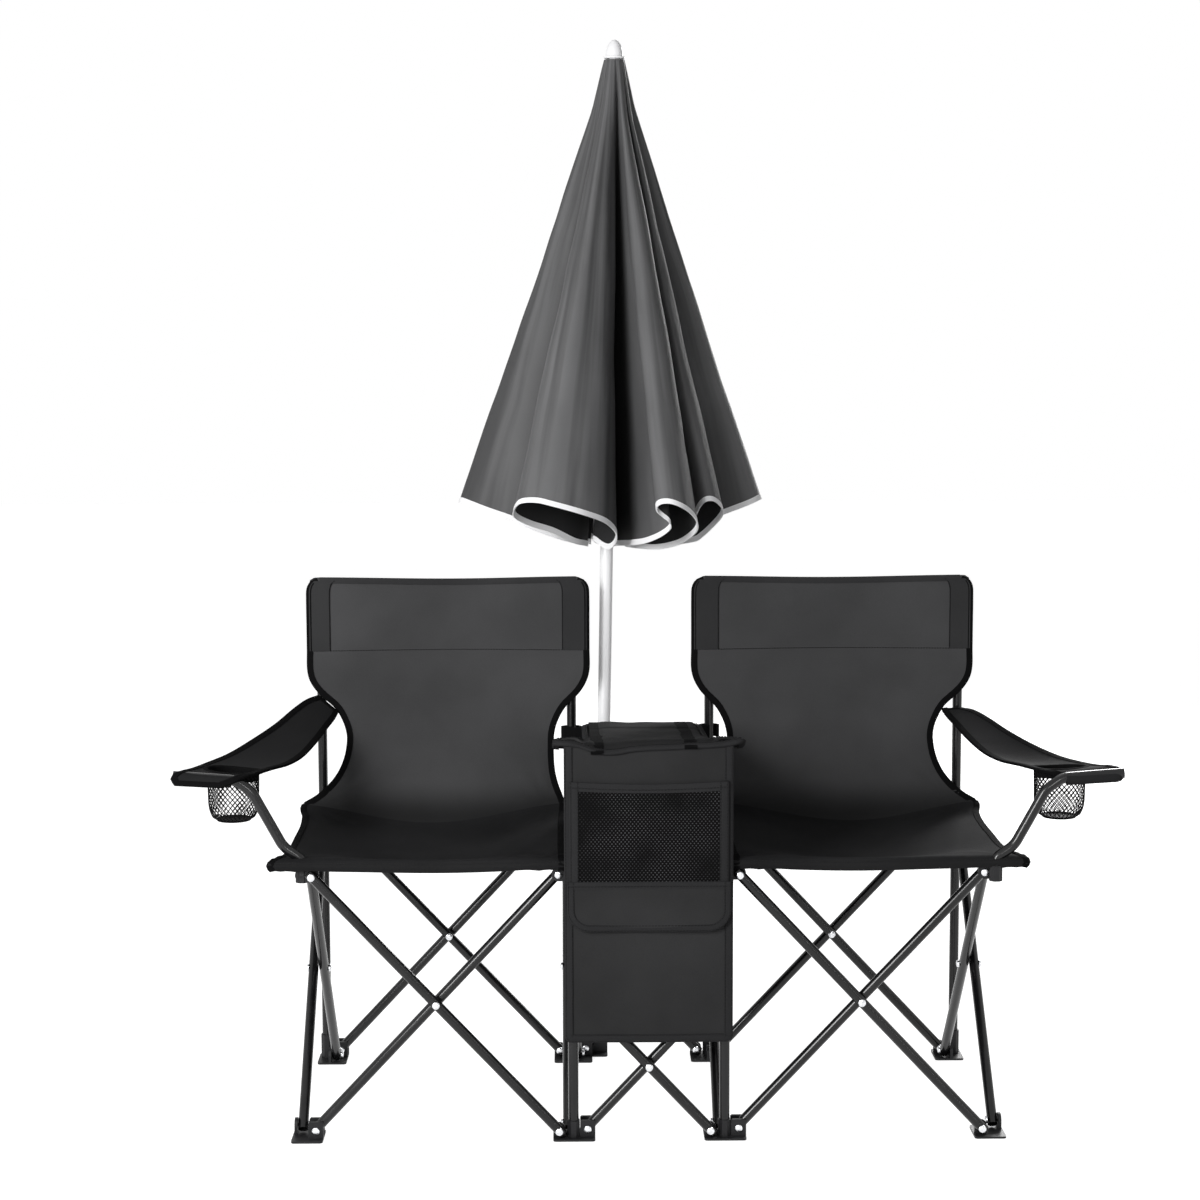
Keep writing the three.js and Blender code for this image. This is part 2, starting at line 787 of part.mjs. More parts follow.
const backStations = [
  { z: backTipZ, out: backTipX, inn: seatInnerX, share: 0 },
  {
    z: halfway(backTipZ, backWaistZ),
    out: halfway(backTipX, backWaistX),
    inn: halfway(seatInnerX, backWaistInnerX),
    share: 0.3,
  },
  { z: backWaistZ, out: backWaistX, inn: backWaistInnerX, share: 0.55 },
  {
    z: halfway(backWaistZ, backWideZ),
    out: halfway(backWaistX, backWideX),
    inn: halfway(backWaistInnerX, backInnerX),
    share: 0.75,
  },
  { z: backWideZ, out: backWideX, inn: backInnerX, share: 0.92 },
  { z: halfway(backWideZ, backTop), out: backWideX, inn: backInnerX, share: 1 },
  { z: backTop - backCorner, out: backWideX, inn: backInnerX, share: 1 },
  { z: backTop, out: backWideX - backCorner / 2, inn: backInnerX + backCorner / 2, share: 1 },
].map((s) => ({
  out: s.out,
  inn: s.inn,
  edge: [postFront, s.z],
  middle: [
    THREE.MathUtils.lerp(creaseY, postFront + backSag, s.share),
    s.share === 0 ? seatZ - backLean : s.z,
  ],
}));
const stations = [...seatStations, ...backStations];

function slingPoint(sign) {
  return (u, v) => {
    const row = v * (stations.length - 1);
    const k = Math.min(Math.floor(row), stations.length - 2);
    const t = row - k;
    const mix = (f) => THREE.MathUtils.lerp(f(stations[k]), f(stations[k + 1]), t);
    const bump = Math.sin(Math.PI * u) ** 2;
    const y = THREE.MathUtils.lerp(mix((s) => s.edge[0]), mix((s) => s.middle[0]), bump);
    const z = THREE.MathUtils.lerp(mix((s) => s.edge[1]), mix((s) => s.middle[1]), bump);
    const x = THREE.MathUtils.lerp(mix((s) => s.out), mix((s) => s.inn), sign < 0 ? u : 1 - u);
    return V(sign * x, y, z);
  };
}

for (const sign of [-1, 1]) {
  const word = sign < 0 ? "left" : "right";
  let body = sheet(slingAcross, stations.length - 1, slingPoint(sign), clothT);
  // sleeves closed at the top, over the two rear posts
  for (const x of [sign * postX, sign * rearPostX]) {
    const foot = V(x, rearY, backSleeveBottom - over);
    const head = V(x, rearY, rearPostTop + slideGap);
    body = join(body, rod(sleeveR, V(x, rearY, backSleeveBottom), V(x, rearY, backTop)));
    body = cut(body, rod(tubeR + gap, foot, head));
  }
  const eye = V(sign * armPostX, armY(sign), 0);
  body = cut(
    body,
    rod(eyeletR, eye.clone().setZ(seatPivotZ), eye.clone().setZ(armKneeZ), tubeSides),
  );
  addMesh(`sling_${word}`, body, cloth);
}

// Armrests: stations from the front tube to the rear post. Each share says how far the
// outer and the inner edge have come in and up there, on the way from the front to the rear.
const armStations = [
  { share: 0, outShare: 0, outRiseShare: 0, inShare: 0, inRiseShare: 0 },
  { share: 0.13, outShare: 0.06, outRiseShare: -0.04, inShare: 0.38, inRiseShare: -0.3 },
  { share: 0.27, outShare: 0.15, outRiseShare: -0.09, inShare: 0.54, inRiseShare: -0.41 },
  { share: 0.42, outShare: 0.31, outRiseShare: -0.02, inShare: 0.69, inRiseShare: -0.41 },
  { share: 0.57, outShare: 0.5, outRiseShare: 0.21, inShare: 0.81, inRiseShare: -0.3 },
  { share: 0.72, outShare: 0.69, outRiseShare: 0.49, inShare: 0.9, inRiseShare: 0 },
  { share: 0.87, outShare: 0.87, outRiseShare: 0.79, inShare: 0.96, inRiseShare: 0.48 },
  { share: 1, outShare: 1, outRiseShare: 1, inShare: 1, inRiseShare: 1 },
];
const sleeveShares = [0.16, 0.85];
// A point of the armrest: across runs from its outer edge to its inner one, along from front to rear
function armRestPoint(sign, across, along) {
  const row = along * (armStations.length - 1);
  const k = Math.min(Math.floor(row), armStations.length - 2);
  const mix = (key) => THREE.MathUtils.lerp(armStations[k][key], armStations[k + 1][key], row - k);
  const outX = THREE.MathUtils.lerp(armRestFrontOutX, armRestRearOutX, mix("outShare"));
  const outZ = THREE.MathUtils.lerp(armRestFrontOutZ, armRestRearOutZ, mix("outRiseShare"));
  const inX = THREE.MathUtils.lerp(armRestFrontInX, armRestRearInX, mix("inShare"));
  const inZ = THREE.MathUtils.lerp(armRestFrontInZ, armRestRearInZ, mix("inRiseShare"));
  return V(
    sign * THREE.MathUtils.lerp(outX, inX, across),
    THREE.MathUtils.lerp(armRestFrontY, armRestRearY, mix("share")),
    THREE.MathUtils.lerp(outZ, inZ, across),
  );
}
for (const sign of [-1, 1]) {
  const word = sign < 0 ? "left" : "right";
  const at = (u, v) => armRestPoint(sign, sign < 0 ? u : 1 - u, v);
  // the net cup hangs from the middle of the cloth, a little in from the front edge
  const rim = armRestPoint(sign, 1 / 2, (cupY - armRestFrontY) / (armRestRearY - armRestFrontY)).z;
  const cup = [
    new THREE.Vector2(0, -cupDepth),
    new THREE.Vector2(cupFloorR, -cupDepth),
    new THREE.Vector2(cupR, 0),
    new THREE.Vector2(cupR - cupWall, 0),
    new THREE.Vector2(cupFloorR - cupWall, cupWall - cupDepth),
    new THREE.Vector2(0, cupWall - cupDepth),
  ];
  const net = solid(
    new THREE.LatheGeometry(cup, cupSides).rotateX(Math.PI / 2).translate(sign * cupX, cupY, rim),
  );
  const mouth = [rim - cupDepth / 2, rim + cupDepth / 2].map((z) => V(sign * cupX, cupY, z));
  const body = cut(sheet(4, 10, at, armRestT), rod(cupR - cupWall, mouth[0], mouth[1], cupSides));
  // a sleeve under the front edge takes the outer end of the arm post
  const [shoulder, tip] = armPostEnd(sign);
  const hem = sleeveShares.map((share) => shoulder.clone().lerp(tip, share));
  const sleeve = cut(
    join(body, rod(sleeveR, hem[0], hem[1], tubeSides)),
    roomyRod(tubeR + gap, shoulder, tip.clone().lerp(shoulder, -1), 2 * headSides),
  );
  addMesh(`armrest_${word}`, join(sleeve, net), cloth);
}

// Console bag: an open box between the posts whose front wall is a wider hanging panel
const bagFrontY = panelY;
const lidAt = (y) => THREE.MathUtils.mapLinear(y, lidFrontY, lidRearY, lidFrontZ, lidRearZ) - lidT;
{
  const bagTop = lidAt(bagRearY) - gap;
  const panelTop = lidAt(panelY) - gap;
  const hanging = roundedRect(-panelX, panelX, panelBottom, panelTop, panelCorner);
  const panel = slab(hanging, Y, panelY - panelT, panelT);
  const shell = cut(
    box([-bagX, bagX], [bagFrontY - panelT / 2, bagRearY], [bagBottom, bagTop]),
    box(
      [bagWall - bagX, bagX - bagWall],
      [bagFrontY, bagRearY - bagWall],
      [bagBottom + bagWall, bagTop + over],
    ),
  );
  const net = slab(
    roundedRect(-pocketX, pocketX, pocketBottom, pocketTop, pocketCorner),
    Y,
    panelY - panelT - pocketT,
    pocketT + panelT / 2,
  );
  const flap = slab(
    roundedRect(-pocketX - panelT, pocketX + panelT, pocketBottom - panelT, pocketFlapZ, pocketCorner),
    Y,
    panelY - panelT - 2 * pocketT,
    pocketT + panelT,
  );
  // loops round the four posts beside the console hold the bag up
  const loops = [];
  const bores = [];
  for (const x of [-postX, postX]) {
    const half = sleeveR * Math.sin(Math.PI / 4);
    const low = [V(x, 0, loopFront), V(x, rearY, loopRear)];
    loops.push(
      ...low.map((at) => rod(sleeveR, at, at.clone().setZ(at.z + loopH), tubeSides)),
      box([x - half, x + half], [panelY - panelT / 2, 0], [loopFront, loopFront + loopH]),
      box(
        [Math.min(x, Math.sign(x) * (bagX - bagWall)), Math.max(x, Math.sign(x) * (bagX - bagWall))],
        [bagRearY - bagWall, bagRearY],
        [loopRear, loopRear + loopH],
      ),
      box([x - bagWall / 2, x + bagWall / 2], [bagRearY - bagWall, rearY], [loopRear, loopRear + loopH]),
    );
    bores.push(
      ...low.map((at) =>
        rod(tubeR + gap, at.clone().setZ(at.z - over), at.clone().setZ(at.z + loopH + over), tubeSides),
      ),
    );
  }
  addMesh("console_bag", cut(join(shell, panel, net, flap, loops), bores), cloth);
}

// Console lid: a padded slab that slopes to the rear, with two webbing bands over it
{
  const run = lidRearY - lidFrontY;
  const outline = roundedRect(-lidX, lidX, 0, run, lidCorner);
  const bands = [-1, 1].map((sign) =>
    box(
      [sign * bandX - bandW / 2, sign * bandX + bandW / 2],
      [bandT, run - bandT],
      [lidT / 2, lidT + bandT],
    ),
  );
  const slope = Math.atan2(lidRearZ - lidFrontZ, run);
  const lid = join(lying(outline, 0, lidT), bands)
    .rotate([THREE.MathUtils.radToDeg(slope), 0, 0])
    .translate([0, lidFrontY, lidFrontZ - lidT]);
  addMesh("console_lid", lid, cloth);
}

// Umbrella, built upright about its own pole and then leant
const umbrella = new THREE.Group();
umbrella.position.set(-poleFootX, poleY, 0);
umbrella.rotation.y = Math.atan(poleLean);
group.add(umbrella);
const onAxis = (z) => V(0, 0, z);
const upperR = poleR - poleWall - polePlay;
const upperPipe = (r, z0, z1) => pipe(r, poleWall, onAxis(z0), onAxis(z1), poleSides);
addMesh("umbrella_pole_lower", upperPipe(poleR, poleFootZ, poleJointZ), white, umbrella);
const upperFrom = poleJointZ - poleOverlap;
addMesh("umbrella_pole_upper", upperPipe(upperR, upperFrom, poleTop), white, umbrella);

function spun(profile, sides) {
  const points = profile.map(([r, z]) => new THREE.Vector2(r, z));
  return solid(new THREE.LatheGeometry(points, sides).rotateX(Math.PI / 2));
}
const domeShares = [0.98, 0.9, 0.72, 0.45, 0];
const dome = domeShares.map((share) => [
  finialDomeR * share,
  finialBase + finialFlangeT + finialDomeH * Math.sqrt(1 - share * share),
]);
addMesh(
  "umbrella_finial",
  spun(
    [
      [upperR + polePlay, finialBase],
      [finialFlangeR, finialBase],
      [finialFlangeR, finialBase + finialFlangeT],
      [finialDomeR, finialBase + finialFlangeT],
      ...dome,
      [0, poleTop + gap],
      [upperR + polePlay, poleTop + gap],
      [upperR + polePlay, finialBase],
    ],
    poleSides,
  ),
  white,
  umbrella,
);

// Hub and ribs, hanging close to the pole; each stretcher lies inside its rib
const ringAbout = (r, z0, z1) =>
  cut(
    rod(r, onAxis(z0), onAxis(z1), poleSides),
    roomyRod(upperR + polePlay / 2, onAxis(z0 - over), onAxis(z1 + over), poleSides),
  );
const spokes = (thickness, r0, z0, r1, z1) =>
  Array.from({ length: ribCount }, (_, i) => {
    const a = ((i + 1 / 2) * 2 * Math.PI) / ribCount;
    const at = (r, z) => V(r * Math.cos(a), r * Math.sin(a), z);
    return rod(thickness / 2, at(r0, z0), at(r1, z1), 4);
  });
const ribRun = (z) => THREE.MathUtils.mapLinear(z, ribTopZ, ribTipZ, ribTopR, ribTipR);
addMesh(
  "umbrella_ribs",
  join(
    ringAbout(hubR, ribTopZ - hubH, ribTopZ),
    spokes(ribT, ribTopR - ribT / 2, ribTopZ - hubH / 2, ribTipR, ribTipZ),
  ),
  white,
  umbrella,
);
addMesh(
  "umbrella_runner",
  join(
    ringAbout(runnerR, runnerZ, runnerZ + runnerH),
    spokes(stretcherT, stretcherR - stretcherT / 2, runnerZ + runnerH / 2, stretcherR, stretcherTop),
  ),
  white,
  umbrella,
);

// Canopy: one lobe between each two ribs, hanging outwards in a loose fold
function canopyRing(v) {
  const count = ribCount * canopyPerLobe;
  const outer = [];
  for (let i = 0; i < count; i += 1) {
    const a = (i / count) * 2 * Math.PI;
    const fold = Math.abs(Math.cos((ribCount / 2) * a)) ** 1.25;
    const hem = THREE.MathUtils.lerp(canopyHemValley, canopyHemTip, fold);
    const z = THREE.MathUtils.lerp(canopyTop, hem, v);
    const near = ribRun(z) + ribT / 2 + gap + canopyT;
    const far = THREE.MathUtils.mapLinear(v, 0, 1, canopyTopR, canopyReach);
    const r = THREE.MathUtils.lerp(near, Math.max(near, far), fold);
    const b = a + canopySwirlShare * fold * v;
    outer.push(V(r * Math.cos(b), r * Math.sin(b), z));
  }
  const inner = outer.map((p, i) => {
    const next = outer[(i + 1) % count];
    const last = outer[(i + count - 1) % count];
    const way = next.clone().sub(last).setZ(0).normalize();
    return p.clone().add(V(-way.y, way.x, 0).multiplyScalar(canopyT));
  });
  return [outer, inner];
}
{
  const count = ribCount * canopyPerLobe;
  const rings = Array.from({ length: canopyRows + 1 }, (_, j) => canopyRing(j / canopyRows));
  const positions = rings.flat(2).flatMap((p) => p.toArray());
  const at = (j, side, i) => (2 * j + side) * count + (i % count);
  const faces = [];
  const quad = (a, b, c, d) => faces.push(a, b, c, a, c, d);
  for (let i = 0; i < count; i += 1) {
    for (let j = 0; j < canopyRows; j += 1) {
      quad(at(j, 0, i), at(j + 1, 0, i), at(j + 1, 0, i + 1), at(j, 0, i + 1));
      quad(at(j, 1, i), at(j, 1, i + 1), at(j + 1, 1, i + 1), at(j + 1, 1, i));
    }
    quad(at(0, 0, i), at(0, 0, i + 1), at(0, 1, i + 1), at(0, 1, i));
    const [low, lowNext] = [at(canopyRows, 0, i), at(canopyRows, 0, i + 1)];
    quad(low, at(canopyRows, 1, i), at(canopyRows, 1, i + 1), lowNext);
  }
  const g = new THREE.BufferGeometry();
  g.setAttribute("position", new THREE.Float32BufferAttribute(positions, 3));
  g.setIndex(faces);
  addMesh("umbrella_canopy", solid(g), canopyCloth, umbrella);
}

// The whole stands on the ground, centred on the origin
const whole = new THREE.Box3().setFromObject(group, true);
const centre = whole.getCenter(V(0, 0, 0));
group.position.set(-centre.x, -centre.y, -whole.min.z);

export default group;
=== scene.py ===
# %% Load the model of the chair
import json
import math

import bpy
from mathutils import Matrix, Quaternion, Vector, noise


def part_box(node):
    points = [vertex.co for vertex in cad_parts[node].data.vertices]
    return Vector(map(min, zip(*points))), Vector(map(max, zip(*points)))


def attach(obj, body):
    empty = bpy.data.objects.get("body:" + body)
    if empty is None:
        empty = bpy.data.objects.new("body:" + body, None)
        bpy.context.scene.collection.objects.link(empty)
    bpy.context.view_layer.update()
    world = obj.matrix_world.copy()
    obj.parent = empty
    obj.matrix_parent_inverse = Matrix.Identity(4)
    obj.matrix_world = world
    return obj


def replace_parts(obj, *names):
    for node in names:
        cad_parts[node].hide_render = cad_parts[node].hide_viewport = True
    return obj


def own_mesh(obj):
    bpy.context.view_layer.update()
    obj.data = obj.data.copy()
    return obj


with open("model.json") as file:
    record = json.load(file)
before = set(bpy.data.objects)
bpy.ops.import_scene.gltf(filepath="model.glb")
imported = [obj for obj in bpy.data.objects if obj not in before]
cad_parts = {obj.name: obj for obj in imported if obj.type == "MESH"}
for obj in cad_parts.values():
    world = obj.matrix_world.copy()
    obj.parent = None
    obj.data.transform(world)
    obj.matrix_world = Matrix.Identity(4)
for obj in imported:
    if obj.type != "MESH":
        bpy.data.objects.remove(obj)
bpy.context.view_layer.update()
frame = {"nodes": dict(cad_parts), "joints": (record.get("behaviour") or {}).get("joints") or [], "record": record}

# %% [markdown]
# A folding camping loveseat: two quad-fold chairs with a console between them and a closed
# umbrella behind. The tubes, joints and moulded feet come from the CAD model. This script gives
# every piece its finish, and sews the slings, armrests, console and canopy as cloth, because
# cloth needs hems, seams and folds that a CAD solid doesn't have.

# %% Planes and pivots, read from the joints
joint = {j["name"]: j for j in frame["joints"]}
TUBE_RADIUS = 0.008
TUBE_WALL = 0.001
END_MARGIN = 0.0075


def pivot(name):
    return Vector(joint[name]["pos_m"])


FRONT = pivot("left_front_cross").y
REAR = pivot("left_rear_cross").y
SIDE_STEP = FRONT - pivot("main_fold").y
SEAT_TOP = pivot("left_arm_turn").z
FOOT_PIVOT = pivot("main_fold").z
SEAT_RUN = abs(pivot("left_arm_turn").x - pivot("main_fold").x)
SEAT_RISE = SEAT_TOP - FOOT_PIVOT
CENTRE_RUN = 2 * abs(pivot("center_fold").x)
CENTRE_RISE = pivot("centre_front_right_slider_turn").z - FOOT_PIVOT
print("front plane", round(FRONT, 4), "rear plane", round(REAR, 4), "seat pivots at", SEAT_TOP)

# %% [markdown]
# The camera comes first. It was found from the picture itself: the rivets lie at known places on
# the frame, so a camera that shows all of them where the picture does is the picture's camera.
# It stands about 3.7 m in front of the chairs at chest height and looks slightly down.

# %% Camera
CAMERA_AT = Vector((-0.1242, FRONT - 3.7145, 1.2453))
CAMERA_YAW = 0.0136
CAMERA_DOWN = 0.1088
CAMERA_ROLL = -0.0029
FOCAL_PIXELS = 2465.8
PICTURE_PIXELS = 1200
SENSOR = 36.0

camera_data = bpy.data.cameras.new("camera")
camera_data.sensor_width = SENSOR
camera_data.lens = FOCAL_PIXELS / PICTURE_PIXELS * SENSOR
camera = bpy.data.objects.new("camera", camera_data)
bpy.context.scene.collection.objects.link(camera)
ahead = Vector((
    math.sin(CAMERA_YAW) * math.cos(CAMERA_DOWN),
    math.cos(CAMERA_YAW) * math.cos(CAMERA_DOWN),
    -math.sin(CAMERA_DOWN),
))
level = ahead.cross(Vector((0, 0, 1))).normalized()
upright = level.cross(ahead).normalized()
turned = Quaternion(ahead, -CAMERA_ROLL)
across, up = turned @ level, turned @ upright
facing = Matrix((across, up, -ahead)).transposed()
camera.matrix_world = Matrix.Translation(CAMERA_AT) @ facing.to_4x4()
bpy.context.scene.camera = camera
print("lens", round(camera_data.lens, 2), "mm at", [round(c, 3) for c in CAMERA_AT])

# %% [markdown]
# Finishes. Three effects are shared by several materials, so each is a node group: a plain weave,
# soft creases, and slow mottling. Each one works from object coordinates, in metres, so a weave
# has the same size on every piece.

# %% Shared shader effects


def effect(name, inputs, outputs):
    """An empty shader group with named inputs (name, default) and float outputs."""
    group = bpy.data.node_groups.new(name, "ShaderNodeTree")
    for label, default in inputs:
        socket = group.interface.new_socket(label, in_out="INPUT", socket_type="NodeSocketFloat")
        socket.default_value = default
    for label in outputs:
        group.interface.new_socket(label, in_out="OUTPUT", socket_type="NodeSocketFloat")
    into = group.nodes.new("NodeGroupInput")
    out = group.nodes.new("NodeGroupOutput")
    return group, into, out


def maths(tree, operation, a, b=None, clamp=False):
    """A Math node whose inputs are numbers or other nodes' sockets."""
    node = tree.nodes.new("ShaderNodeMath")
    node.operation = operation
    node.use_clamp = clamp
    for slot, value in enumerate((a, b)):
        if value is None:
            continue
        if isinstance(value, (int, float)):
            node.inputs[slot].default_value = value
        else:
            tree.links.new(value, node.inputs[slot])
    return node.outputs[0]


def place(tree):
    """The point's place on the piece, in metres."""
    return tree.nodes.new("ShaderNodeTexCoord").outputs["Object"]


def build_weave():
    """Threads over and under, from two crossed sets of ridges."""
    group, into, out = effect("plain_weave", [("Threads per metre", 1400.0)], ["Height", "Thread"])
    spread = group.nodes.new("ShaderNodeVectorMath")
    spread.operation = "SCALE"
    group.links.new(place(group), spread.inputs[0])
    group.links.new(into.outputs[0], spread.inputs["Scale"])
    parts = group.nodes.new("ShaderNodeSeparateXYZ")
    group.links.new(spread.outputs[0], parts.inputs[0])
    warp = maths(group, "SINE", maths(group, "MULTIPLY", parts.outputs["X"], math.pi))
    depth = maths(group, "ADD", parts.outputs["Y"], parts.outputs["Z"])
    weft = maths(group, "SINE", maths(group, "MULTIPLY", depth, math.pi))
    over = maths(group, "MULTIPLY", warp, weft)
    height = maths(group, "MULTIPLY_ADD", over, 0.5)
    group.nodes[-1].inputs[2].default_value = 0.5
    group.links.new(height, out.inputs["Height"])
    speck = group.nodes.new("ShaderNodeTexNoise")
    speck.inputs["Scale"].default_value = 900
    speck.inputs["Detail"].default_value = 2
    group.links.new(place(group), speck.inputs["Vector"])
    group.links.new(speck.outputs["Fac"], out.inputs["Thread"])
    return group


def build_creases():
    """Soft wrinkles: ridged noise, drawn out along the given directions by the scale."""
    group, into, out = effect(
        "soft_creases", [("Scale", 9.0), ("Twist", 1.2)], ["Height"]
    )
    noise = group.nodes.new("ShaderNodeTexNoise")
    noise.inputs["Detail"].default_value = 4
    noise.inputs["Roughness"].default_value = 0.45
    group.links.new(place(group), noise.inputs["Vector"])
    group.links.new(into.outputs["Scale"], noise.inputs["Scale"])
    group.links.new(into.outputs["Twist"], noise.inputs["Distortion"])
    ridge = maths(group, "ABSOLUTE", maths(group, "SUBTRACT", noise.outputs["Fac"], 0.5))
    round_off = maths(group, "MULTIPLY_ADD", ridge, ridge)
    group.nodes[-1].inputs[2].default_value = 0.006
    group.links.new(maths(group, "SQRT", round_off), out.inputs["Height"])
    return group


def build_mottling():
    """Slow light and dark clouds, for faded cloth and uneven paint."""
    group, into, out = effect("slow_mottling", [("Scale", 4.0)], ["Cloud"])
    noise = group.nodes.new("ShaderNodeTexNoise")
    noise.inputs["Detail"].default_value = 3
    group.links.new(place(group), noise.inputs["Vector"])
    group.links.new(into.outputs["Scale"], noise.inputs["Scale"])
    ramp = group.nodes.new("ShaderNodeMapRange")
    ramp.inputs["From Min"].default_value = 0.32
    ramp.inputs["From Max"].default_value = 0.68
    group.links.new(noise.outputs["Fac"], ramp.inputs["Value"])
    group.links.new(ramp.outputs[0], out.inputs["Cloud"])
    return group


WEAVE = build_weave()
CREASES = build_creases()
MOTTLING = build_mottling()
print("shader groups:", WEAVE.name, CREASES.name, MOTTLING.name)

# %% Helpers for materials


def new_material(name):
    material = bpy.data.materials.new(name)
    material.use_nodes = True
    tree = material.node_tree
    shader = tree.nodes["Principled BSDF"]
    return material, tree, shader


def use(tree, group, **values):
    """Places a shared effect in a material with its own values."""
    node = tree.nodes.new("ShaderNodeGroup")
    node.node_tree = group
    for label, value in values.items():
        node.inputs[label.replace("_", " ")].default_value = value
    return node


def two_tone(tree, mask, dark, light):
    """Blends two colours by a mask."""
    mix = tree.nodes.new("ShaderNodeMix")
    mix.data_type = "RGBA"
    mix.inputs["A"].default_value = (*dark, 1)
    mix.inputs["B"].default_value = (*light, 1)
    tree.links.new(mask, mix.inputs["Factor"])
    return mix.outputs["Result"]


def bump(tree, height, distance, strength=1.0, below=None):
    node = tree.nodes.new("ShaderNodeBump")
    node.inputs["Distance"].default_value = distance
    node.inputs["Strength"].default_value = strength
    tree.links.new(height, node.inputs["Height"])
    if below is not None:
        tree.links.new(below, node.inputs["Normal"])
    return node.outputs["Normal"]


def spread_of(tree, value, low, high):
    """Maps a 0 to 1 value to a range."""
    node = tree.nodes.new("ShaderNodeMapRange")
    node.inputs["To Min"].default_value = low
    node.inputs["To Max"].default_value = high
    tree.links.new(value, node.inputs["Value"])
    return node.outputs[0]


# %% [markdown]
# The tubes are steel with a glossy black powder coat. Powder coat is never quite smooth: it has a
# faint orange-peel. So the paint is nearly black, has a clear coat on top for the sharp white
# streaks, and a very fine bump under it.

# %% Paint, plastic and zinc


def make_paint():
    material, tree, shader = new_material("black_powder_coat")
    cloud = use(tree, MOTTLING, Scale=30.0).outputs["Cloud"]
    tree.links.new(two_tone(tree, cloud, (0.004, 0.004, 0.0043), (0.008, 0.008, 0.0085)),
                   shader.inputs["Base Color"])
    tree.links.new(spread_of(tree, cloud, 0.2, 0.28), shader.inputs["Roughness"])
    shader.inputs["Specular IOR Level"].default_value = 0.22
    shader.inputs["Coat Weight"].default_value = 0.25
    shader.inputs["Coat Roughness"].default_value = 0.05
    peel = tree.nodes.new("ShaderNodeTexNoise")
    peel.inputs["Scale"].default_value = 700
    tree.links.new(place(tree), peel.inputs["Vector"])
    tree.links.new(bump(tree, peel.outputs["Fac"], 0.0001, 0.25), shader.inputs["Normal"])
    return material


def make_plastic(name, dark, light, low, high, gloss=0.5):
    """Moulded plastic with a fine spark-eroded grain."""
    material, tree, shader = new_material(name)
    shader.inputs["Specular IOR Level"].default_value = gloss
    grain = tree.nodes.new("ShaderNodeTexNoise")
    grain.inputs["Scale"].default_value = 1500
    grain.inputs["Detail"].default_value = 3
    tree.links.new(place(tree), grain.inputs["Vector"])
    cloud = use(tree, MOTTLING, Scale=25.0).outputs["Cloud"]
    tree.links.new(two_tone(tree, cloud, dark, light), shader.inputs["Base Color"])
    tree.links.new(spread_of(tree, grain.outputs["Fac"], low, high), shader.inputs["Roughness"])
    tree.links.new(bump(tree, grain.outputs["Fac"], 0.0002, 0.3), shader.inputs["Normal"])
    return material


def make_zinc():
    material, tree, shader = new_material("zinc_rivet")
    cloud = use(tree, MOTTLING, Scale=300.0).outputs["Cloud"]
    tree.links.new(two_tone(tree, cloud, (0.62, 0.63, 0.65), (0.82, 0.83, 0.85)),
                   shader.inputs["Base Color"])
    shader.inputs["Metallic"].default_value = 1
    tree.links.new(spread_of(tree, cloud, 0.22, 0.34), shader.inputs["Roughness"])
    return material


PAINT = make_paint()
PLASTIC = make_plastic("black_moulded_plastic", (0.008, 0.008, 0.009), (0.013, 0.013, 0.014),
                       0.38, 0.55, 0.25)
WHITE_PLASTIC = make_plastic("white_moulded_plastic", (0.84, 0.84, 0.85), (0.88, 0.88, 0.89), 0.25, 0.35)
WHITE_LACQUER = make_plastic("white_lacquered_tube", (0.85, 0.85, 0.86), (0.89, 0.89, 0.9), 0.2, 0.3, 0.9)
ZINC = make_zinc()
print("hard finishes:", PAINT.name, PLASTIC.name, ZINC.name)

# %% [markdown]
# The cloth is a coated polyester weave, nearly black on the seats and armrests, dark grey on the
# backs and the console, and mid grey on the canopy. It is matt, so its gloss is set low: a white
# studio would otherwise wash the black out. The binding tape is blacker and ribbed, and the
# netting of the pocket is a grid of small staggered holes.

# %% Cloth, tape and net


def make_cloth(name, dark, light, threads, crease_scale, crease_depth, sheen, rough, gloss=0.1):
    material, tree, shader = new_material(name)
    shader.inputs["Specular IOR Level"].default_value = gloss
    weave = use(tree, WEAVE, Threads_per_metre=threads)
    creases = use(tree, CREASES, Scale=crease_scale)
    cloud = use(tree, MOTTLING, Scale=5.0).outputs["Cloud"]
    speckled = maths(tree, "MULTIPLY_ADD", weave.outputs["Thread"], 0.5)
    tree.nodes[-1].inputs[2].default_value = -0.1
    mask = maths(tree, "MULTIPLY_ADD", cloud, 0.55, clamp=True)
    tree.links.new(speckled, tree.nodes[-1].inputs[2])
    tree.links.new(two_tone(tree, mask, dark, light), shader.inputs["Base Color"])
    tree.links.new(spread_of(tree, weave.outputs["Height"], rough - 0.06, rough + 0.04),
                   shader.inputs["Roughness"])
    shader.inputs["Sheen Weight"].default_value = sheen
    shader.inputs["Sheen Roughness"].default_value = 0.45
    folded = bump(tree, creases.outputs["Height"], crease_depth, 0.6)
    tree.links.new(bump(tree, weave.outputs["Height"], 0.0002, 0.5, folded), shader.inputs["Normal"])
    return material


def parts_of_place(tree):
    """The point's place as X, Y and Z outputs."""
    parts = tree.nodes.new("ShaderNodeSeparateXYZ")
    tree.links.new(place(tree), parts.inputs[0])
    return parts.outputs


def rise_of(tree, value, low, high, least, shape="SMOOTHSTEP"):
    """Rises from the least value at low to 1 at high."""
    rise = tree.nodes.new("ShaderNodeMapRange")
    rise.interpolation_type = shape
    rise.inputs["From Min"].default_value = low
    rise.inputs["From Max"].default_value = high
    rise.inputs["To Min"].default_value = least
    tree.links.new(value, rise.inputs["Value"])
    return rise.outputs[0]


